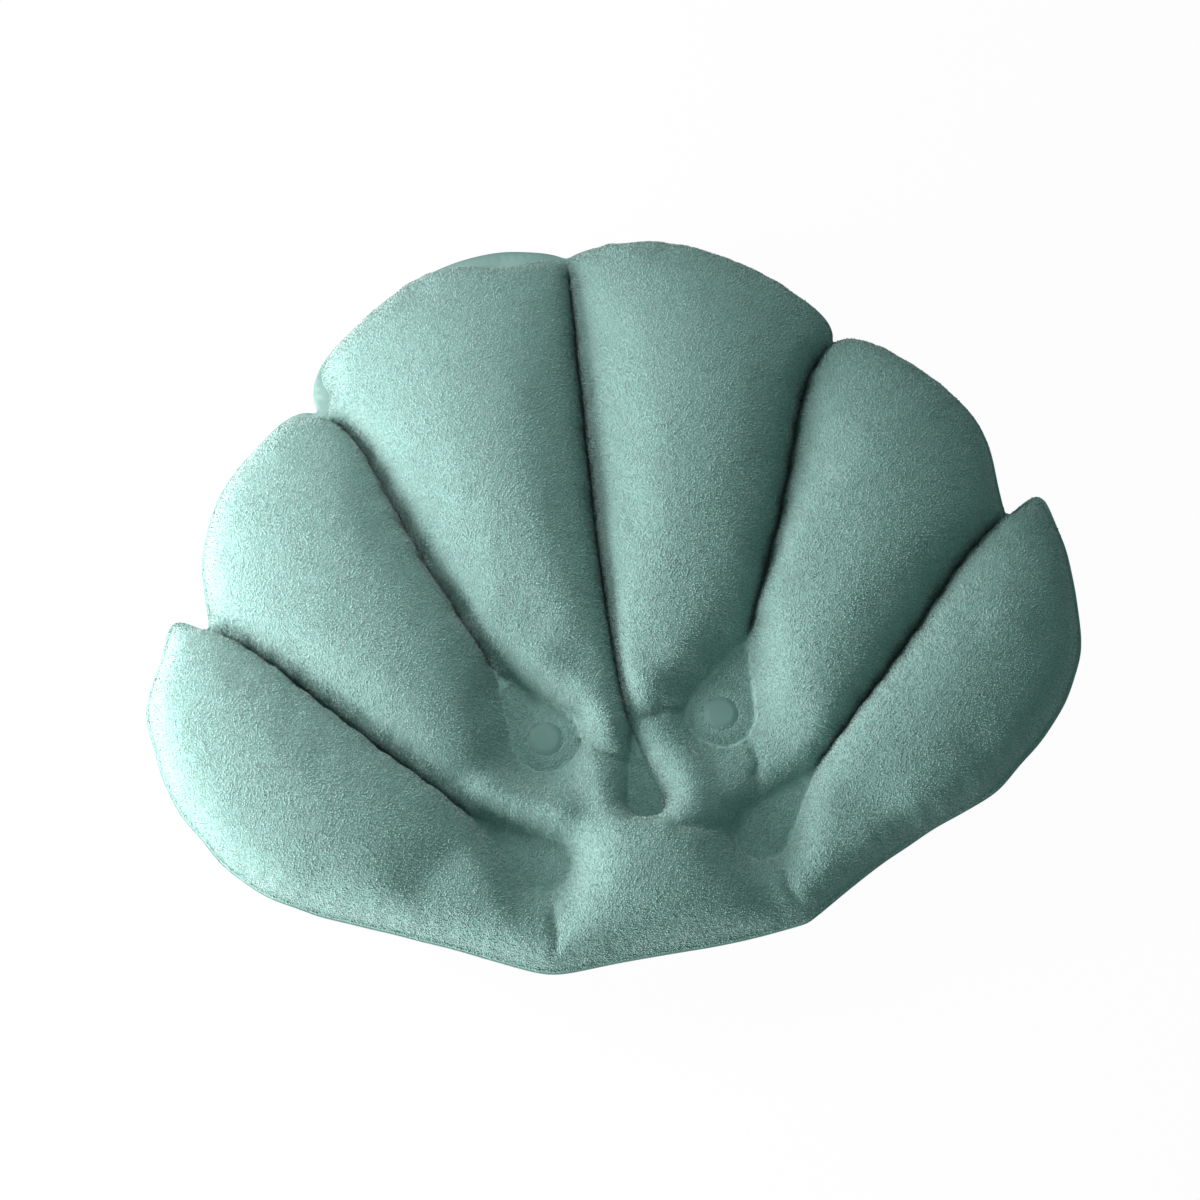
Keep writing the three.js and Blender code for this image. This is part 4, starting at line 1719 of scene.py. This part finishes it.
    def build(self, skin: bpy.types.Mesh) -> list[bpy.types.Object]:
        """Lays the loops over the terry's face.

        Args:
            skin: The face that they stand on.

        Returns:
            One piece for each shade of yarn.
        """
        tree = self._tree()
        pieces = []
        for number, finish in enumerate(YARNS):
            dye = finish.make()
            values = {"Spacing": self.spacing, "Height": self.height, "Width": self.width, "Yarn": self.yarn,
                      "Lean": self.lean, "Shade": number, "Seed": self.seed, "Dye": dye}
            piece = bpy.data.objects.new(finish.name.replace("yarn", "loops"), skin.copy())
            bpy.context.scene.collection.objects.link(piece)
            modifier = piece.modifiers.new("loops", "NODES")
            modifier.node_group = tree
            for socket in tree.interface.items_tree:
                if socket.in_out == "INPUT" and socket.name in values:
                    modifier[socket.identifier] = values[socket.name]
            apply_modifiers(piece)
            pieces.append(piece)
        return pieces

    @staticmethod
    def dress(piece: bpy.types.Object) -> None:
        """Puts loops on the pillow."""
        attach(piece, "pillow")


# Suction cups


@dataclass
class SuctionCup:
    """A cup whose head buttons through a welded spot, and the patch behind the spot. Millimetres."""

    hand: Hand
    wall: float = 2.2
    depth: float = 13.0
    lip_width: float = 2.4
    lip_height: float = 1.0
    shank_radius: float = 6.5
    neck_radius: float = 3.6
    head_radius: float = 8.2
    head_thickness: float = 1.6
    head_dip: float = 0.2
    head_slope_top: float = 0.4
    head_slope_foot: float = 1.3
    head_slope_width: float = 2.6
    head_rounding: float = 0.7
    neck_clearance: float = 0.4
    gap: float = 0.3
    bell_inset: float = 0.15
    lip_top: float = 0.8
    lip_bevel: float = 0.25
    lip_inset: float = 0.3
    patch_rounding: float = 0.4

    def _name(self, what: str) -> str:
        """The name of one of the cup's nodes."""
        return f"{what}_{self.hand.name.lower()}"

    @staticmethod
    def _bell(radius: float, base: float, top: float, root: float) -> list[tuple[float, float]]:
        """A bell's side from its root down to its rim.

        Args:
            radius: The rim's radius.
            base: The rim's height.
            top: The root's height.
            root: The root's radius.

        Returns:
            The side's profile.
        """
        turns = np.linspace(0.0, math.pi / 2, 15)
        return [(root + (radius - root) * math.sin(t), base + (top - base) * math.cos(t)) for t in turns]

    def build(self, material: bpy.types.Material) -> tuple[bpy.types.Object, bpy.types.Object]:
        """Builds the cup and its patch.

        Args:
            material: Their vinyl.

        Returns:
            The cup and the patch.
        """
        low, high = (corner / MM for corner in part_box(self._name("suction_cup")))
        patch_low, patch_high = (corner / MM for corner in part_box(self._name("cup_patch")))
        centre = (low + high) / 2 * MM
        radius, head_top = (high.x - low.x) / 2, high.z
        head_low, shank_top = head_top - self.head_thickness, patch_low.z - self.gap
        hollow = radius - self.lip_width
        above = rounded([
            (0, head_top - self.head_dip), (self.head_radius - self.head_slope_width, head_top - self.head_slope_top),
            (self.head_radius, head_top - self.head_slope_foot), (self.head_radius, head_low),
            (self.neck_radius, head_low), (self.neck_radius, shank_top), (self.shank_radius, shank_top)],
            self.head_rounding)
        bell = self._bell(radius - self.bell_inset, self.lip_height, self.depth, self.shank_radius)
        lip = [(radius, self.lip_height * self.lip_top), (radius, self.lip_bevel),
               (radius - self.lip_bevel, low.z), (hollow + self.lip_inset, low.z)]
        inside_bell = self._bell(hollow, self.lip_height, self.depth - self.wall, 0.0)[::-1]
        cup = turned_piece(self._name("cup"), [*above, *bell, *lip, *inside_bell], centre, material)
        hole, edge = self.neck_radius + self.neck_clearance, (patch_high.x - patch_low.x) / 2
        ring = rounded([(hole, patch_high.z), (edge, patch_high.z), (edge, patch_low.z), (hole, patch_low.z)],
                       self.patch_rounding)
        patch = turned_piece(self._name("patch"), ring, centre, material)
        return cup, patch

    def dress(self, cup: bpy.types.Object, patch: bpy.types.Object) -> None:
        """Puts the cup on its swivel and the patch on the pillow.

        Args:
            cup: The built cup.
            patch: The built patch.
        """
        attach(cup, f"{self.hand.name.lower()}_cup")
        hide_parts(self._name("suction_cup"))
        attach(patch, "pillow")
        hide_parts(self._name("cup_patch"))


# Valve


@dataclass
class Valve:
    """The push-in valve on the back: flange, stem and plug on its strap. Millimetres."""

    stem_radius: float = 4.5
    bore_radius: float = 2.9
    stem_clearance: float = 0.4
    lip_radius: float = 6.5
    lip_thickness: float = 1.0
    collar_radius: float = 5.8
    collar_thickness: float = 1.2
    cap_thickness: float = 1.8
    pin_radius: float = 2.5
    pin_tip_radius: float = 1.9
    strap_thickness: float = 0.8
    strap_steps: int = 16
    sides: int = 48
    flange_edge: float = 0.55
    flange_border: tuple[float, float] = (2.4, 3.0)
    dish_border: tuple[float, float] = (1.6, 2.2)
    dish_depth: float = 0.4
    rounding: float = 0.3
    stem_rounding: float = 0.35
    strap_bevel: float = 0.15

    def _profiles(self) -> dict[str, tuple[Profile, float]]:
        """The sections of the pieces that are turned about the valve's axis.

        Returns:
            Each section as (radius, height), with the radius of its rounded corners, by the piece's node.
        """
        low, high = (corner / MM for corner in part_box("valve_flange"))
        hole, edge = self.stem_radius + self.stem_clearance, (high.x - low.x) / 2
        thin = low.z + self.flange_edge
        slope_top, slope_foot = (edge - border for border in self.flange_border)
        flange = [(hole, high.z), (edge, high.z), (edge, thin), (slope_top, thin), (slope_foot, low.z), (hole, low.z)]
        low, high = (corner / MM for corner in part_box("valve_stem"))
        collar, lip = high.z - self.collar_thickness, low.z + self.lip_thickness
        stem = [(self.bore_radius, high.z), (self.collar_radius, high.z), (self.collar_radius, collar),
                (self.stem_radius, collar), (self.stem_radius, lip), (self.lip_radius, lip),
                (self.lip_radius, low.z), (self.bore_radius, low.z)]
        low, high = (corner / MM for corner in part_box("valve_plug"))
        edge, cap, dish = (high.x - low.x) / 2, low.z + self.cap_thickness, low.z + self.dish_depth
        slope_foot, slope_top = (edge - border for border in self.dish_border)
        plug = [(0, high.z), (self.pin_tip_radius, high.z), (self.pin_radius, cap), (edge, cap), (edge, low.z),
                (slope_foot, low.z), (slope_top, dish), (0, dish)]
        return {"valve_flange": (flange, self.rounding), "valve_stem": (stem, self.stem_rounding),
                "valve_plug": (plug, self.rounding)}

    def _strap(self, material: bpy.types.Material) -> bpy.types.Object:
        """Builds the strap, a strip that loops from the stem's lip to the plug's cap.

        Args:
            material: The valve's vinyl.

        Returns:
            The strap.
        """
        low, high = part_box("valve_strap")
        thick = self.strap_thickness * MM
        bend = (high.z - low.z - thick) / 2
        middle, elbow = (high.z + low.z) / 2, high.x - bend - thick / 2
        turns = np.linspace(math.pi / 2, -math.pi / 2, self.strap_steps + 1)
        run = [(low.x, middle + bend), *((elbow + bend * math.cos(t), middle + bend * math.sin(t)) for t in turns),
               (low.x, middle - bend)]
        points = [(x, y, z) for x, z in run for y in (low.y, high.y)]
        faces = [(2 * i, 2 * i + 1, 2 * i + 3, 2 * i + 2) for i in range(len(run) - 1)]
        piece = new_piece("valve_strap_shown", np.array(points), faces, material)
        wall = piece.modifiers.new("wall", "SOLIDIFY")
        wall.thickness = thick
        wall.offset = 0.0
        soft = piece.modifiers.new("soft", "BEVEL")
        soft.width = self.strap_bevel * MM
        soft.segments = 2
        apply_modifiers(piece)
        return piece

    def build(self, material: bpy.types.Material) -> dict[str, bpy.types.Object]:
        """Builds every piece.

        Args:
            material: The valve's vinyl.

        Returns:
            The pieces by the node that each takes the place of.
        """
        low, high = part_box("valve_flange")
        pieces = {}
        for node, (profile, rounding) in self._profiles().items():
            section = rounded(profile, rounding)
            pieces[node] = turned_piece(f"{node}_shown", section, (low + high) / 2, material, self.sides)
        pieces["valve_strap"] = self._strap(material)
        return pieces

    @staticmethod
    def dress(pieces: dict[str, bpy.types.Object]) -> None:
        """Puts each piece but the strap on its body, and bakes the strap's place into its mesh.

        Args:
            pieces: The pieces by the node that each takes the place of.
        """
        riders = {"valve_flange": "pillow", "valve_stem": "valve", "valve_plug": "plug"}
        for node, piece in pieces.items():
            if node in riders:
                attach(piece, riders[node])
            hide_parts(node)
        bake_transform(pieces["valve_strap"])


# Studio


@dataclass(frozen=True)
class Lamp:
    """A soft round lamp that faces the pillow, with its place and size in metres and its power in watts."""

    name: str
    place: tuple[float, float, float]
    size: float
    power: float
    tint: tuple[float, float, float]
    target: tuple[float, float, float] = (0.0, 0.0, 0.04)

    def make(self) -> None:
        """Makes the lamp."""
        lamp = bpy.data.lights.new(self.name, "AREA")
        lamp.color = self.tint
        lamp.shape = "DISK"
        lamp.size = self.size
        lamp.energy = self.power
        holder = bpy.data.objects.new(self.name, lamp)
        holder.location = self.place
        holder.rotation_mode = "QUATERNION"
        holder.rotation_quaternion = (Vector(self.target) - Vector(self.place)).to_track_quat("-Z", "Y")
        bpy.context.scene.collection.objects.link(holder)


@dataclass
class Studio:
    """Pale floor, soft light and the photograph's camera."""

    azimuth: float = -8.7
    elevation: float = 69.7
    base_y: float = -0.1754
    aim: tuple[float, float, float] = (-0.0056, 0.1731, 0.0286)
    distance: float = 3.0
    lens: float = 194.7
    sensor: float = 36.0
    key: Lamp = Lamp("key", (-0.45, 0.08, 0.19), 0.25, 3.0, (1.0, 0.90, 0.93))
    crown: Lamp = Lamp("crown", (-0.17, 0.24, 0.375), 0.25, 1.2, (1.0, 0.94, 0.96))
    front: Lamp = Lamp("front", (-0.67, -0.39, 0.22), 0.4, 8.2, (1.0, 0.92, 0.94))
    sky: float = 0.275
    sky_tint: Colour = (0.75, 1.0, 0.98, 1.0)
    floor_reach: float = 6.0
    floor_tone: Colour = (0.86, 0.86, 0.86, 1.0)
    floor_glow: float = 0.97

    def camera(self) -> None:
        """Makes the camera."""
        turn, rise = math.radians(self.azimuth), math.radians(self.elevation)
        back = Vector((math.sin(turn) * math.cos(rise), -math.cos(turn) * math.cos(rise), math.sin(rise)))
        lens = bpy.data.cameras.new("camera")
        lens.lens = self.lens
        lens.sensor_width = self.sensor
        lens.clip_start, lens.clip_end = 0.05, 50.0
        camera = bpy.data.objects.new("camera", lens)
        camera.location = Vector(self.aim) + Vector((0, self.base_y, 0)) + back * self.distance
        camera.rotation_mode = "QUATERNION"
        camera.rotation_quaternion = (-back).to_track_quat("-Z", "Y")
        bpy.context.scene.collection.objects.link(camera)
        bpy.context.scene.camera = camera

    @staticmethod
    def _seen(tree: NodeTree) -> Socket:
        """Tells the rays that show the backdrop: straight to the camera, mirrored or through glass.

        Args:
            tree: The tree that is filled.

        Returns:
            One for these rays.
        """
        path = tree.add("ShaderNodeLightPath")
        names = ("Is Camera Ray", "Is Glossy Ray", "Is Transmission Ray")
        first, second, third = (tree.out(path, n) for n in names)
        return first.at_least(second).at_least(third)

    def floor(self) -> None:
        """Makes the floor, white with a faint shadow, and clear when seen from below."""
        reach = self.floor_reach
        corners = np.array([(-reach, -reach, 0), (reach, -reach, 0), (reach, reach, 0), (-reach, reach, 0)])
        material, tree = new_material("studio_floor")
        paper = tree.add("ShaderNodeBsdfDiffuse", {}, {"Color": self.floor_tone})
        glow = tree.add("ShaderNodeEmission", {}, {"Color": WHITE, "Strength": 1.0})
        mixed = tree.add("ShaderNodeMixShader", {}, {
            0: self.floor_glow * self._seen(tree), 1: tree.out(paper), 2: tree.out(glow)})
        clear = tree.add("ShaderNodeBsdfTransparent")
        under = tree.out(tree.add("ShaderNodeNewGeometry"), "Backfacing")
        surface = tree.add("ShaderNodeMixShader", {}, {0: under, 1: tree.out(mixed), 2: tree.out(clear)})
        tree.add("ShaderNodeOutputMaterial", {}, {"Surface": tree.out(surface)})
        floor = new_piece("studio_floor", corners, [(0, 1, 2, 3)], material)

    def light(self) -> None:
        """Makes the lamps and the sky."""
        for lamp in (self.key, self.crown, self.front):
            lamp.make()
        world = bpy.data.worlds.new("studio")
        bpy.context.scene.world = world
        world.use_nodes = True
        world.node_tree.nodes.clear()
        tree = NodeTree(world.node_tree)
        seen = self._seen(tree)
        sky = tree.add("ShaderNodeBackground", {}, {
            "Color": tree.mix(seen, self.sky_tint, WHITE),
            "Strength": self.sky + (1 - self.sky) * seen})
        tree.add("ShaderNodeOutputWorld", {}, {"Surface": tree.out(sky)})


def main() -> None:
    """Builds every piece and reports it."""
    logging.basicConfig(level=logging.INFO, format="%(message)s")
    bpy.context.scene.view_settings.view_transform = "Standard"
    plan = ShellPlan()
    patch_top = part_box("cup_patch_right")[1].z
    low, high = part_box("suction_cup_right")
    cup = plan.cup_spots()[1]
    shift = (low.y + high.y) / 2 / MM - cup.centre()[1]
    studio = Studio(base_y=shift * MM)
    studio.camera()
    studio.floor()
    studio.light()
    terry_low, terry_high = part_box("front_terry")
    inflation = Inflation(
        plan, weld_height=patch_top / MM + plan.patch_gap, shift=shift,
        half_span=(terry_high.x - terry_low.x) / 2 / MM,
        valve_seat_height=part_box("valve_flange")[1].z / MM + plan.flange_gap)
    bag = inflation.run()
    LOG.info("bag: %d points, %d triangles in plan", len(bag.plan.points), len(bag.plan.triangles))

    terry_material, film_material = TerryFinish().make(), FilmFinish().make()
    necks = [(s.centre(), plan.neck_hole) for s in plan.cup_spots()]
    valve_hole = (plan.valve_centre(), plan.valve_hole)
    sheets = (
        (Sheet("terry_front", Side.FRONT, ("front_terry",), Slot.TERRY, loft=1.3 * MM, thickness=1.1 * MM,
               trimmed=True, island_loft=1.9 * MM), terry_material, necks),
        (Sheet("film_front", Side.FRONT, ("front_film",), Slot.FILM, loft=0.0, thickness=0.3 * MM,
               trimmed=True, smooth=False), film_material, necks),
        (Sheet("film_back", Side.BACK, ("back_film",), Slot.FILM, loft=0.5 * MM, thickness=0.4 * MM,
               trimmed=False), film_material, [*necks, valve_hole]),
    )
    for sheet, material, holes in sheets:
        piece = sheet.build(bag, material, holes)
        sheet.dress(piece)
        LOG.info("%s: %d faces", piece.name, len(piece.data.polygons))

    pile = TerryPile()
    for piece in pile.build(sheets[0][0].skin):
        pile.dress(piece)
        LOG.info("%s: %d faces", piece.name, len(piece.data.polygons))

    vinyl = VinylFinish().make()
    for hand in Hand:
        suction_cup = SuctionCup(hand)
        pair = suction_cup.build(vinyl)
        suction_cup.dress(*pair)
        LOG.info("%s and %s", *(piece.name for piece in pair))
    valve = Valve()
    pieces = valve.build(vinyl)
    valve.dress(pieces)
    LOG.info("valve: %s", ", ".join(piece.name for piece in pieces.values()))
    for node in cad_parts.values():
        node.data.materials.clear()
        node.data.materials.append(vinyl)


if __name__ == "__main__":
    main()
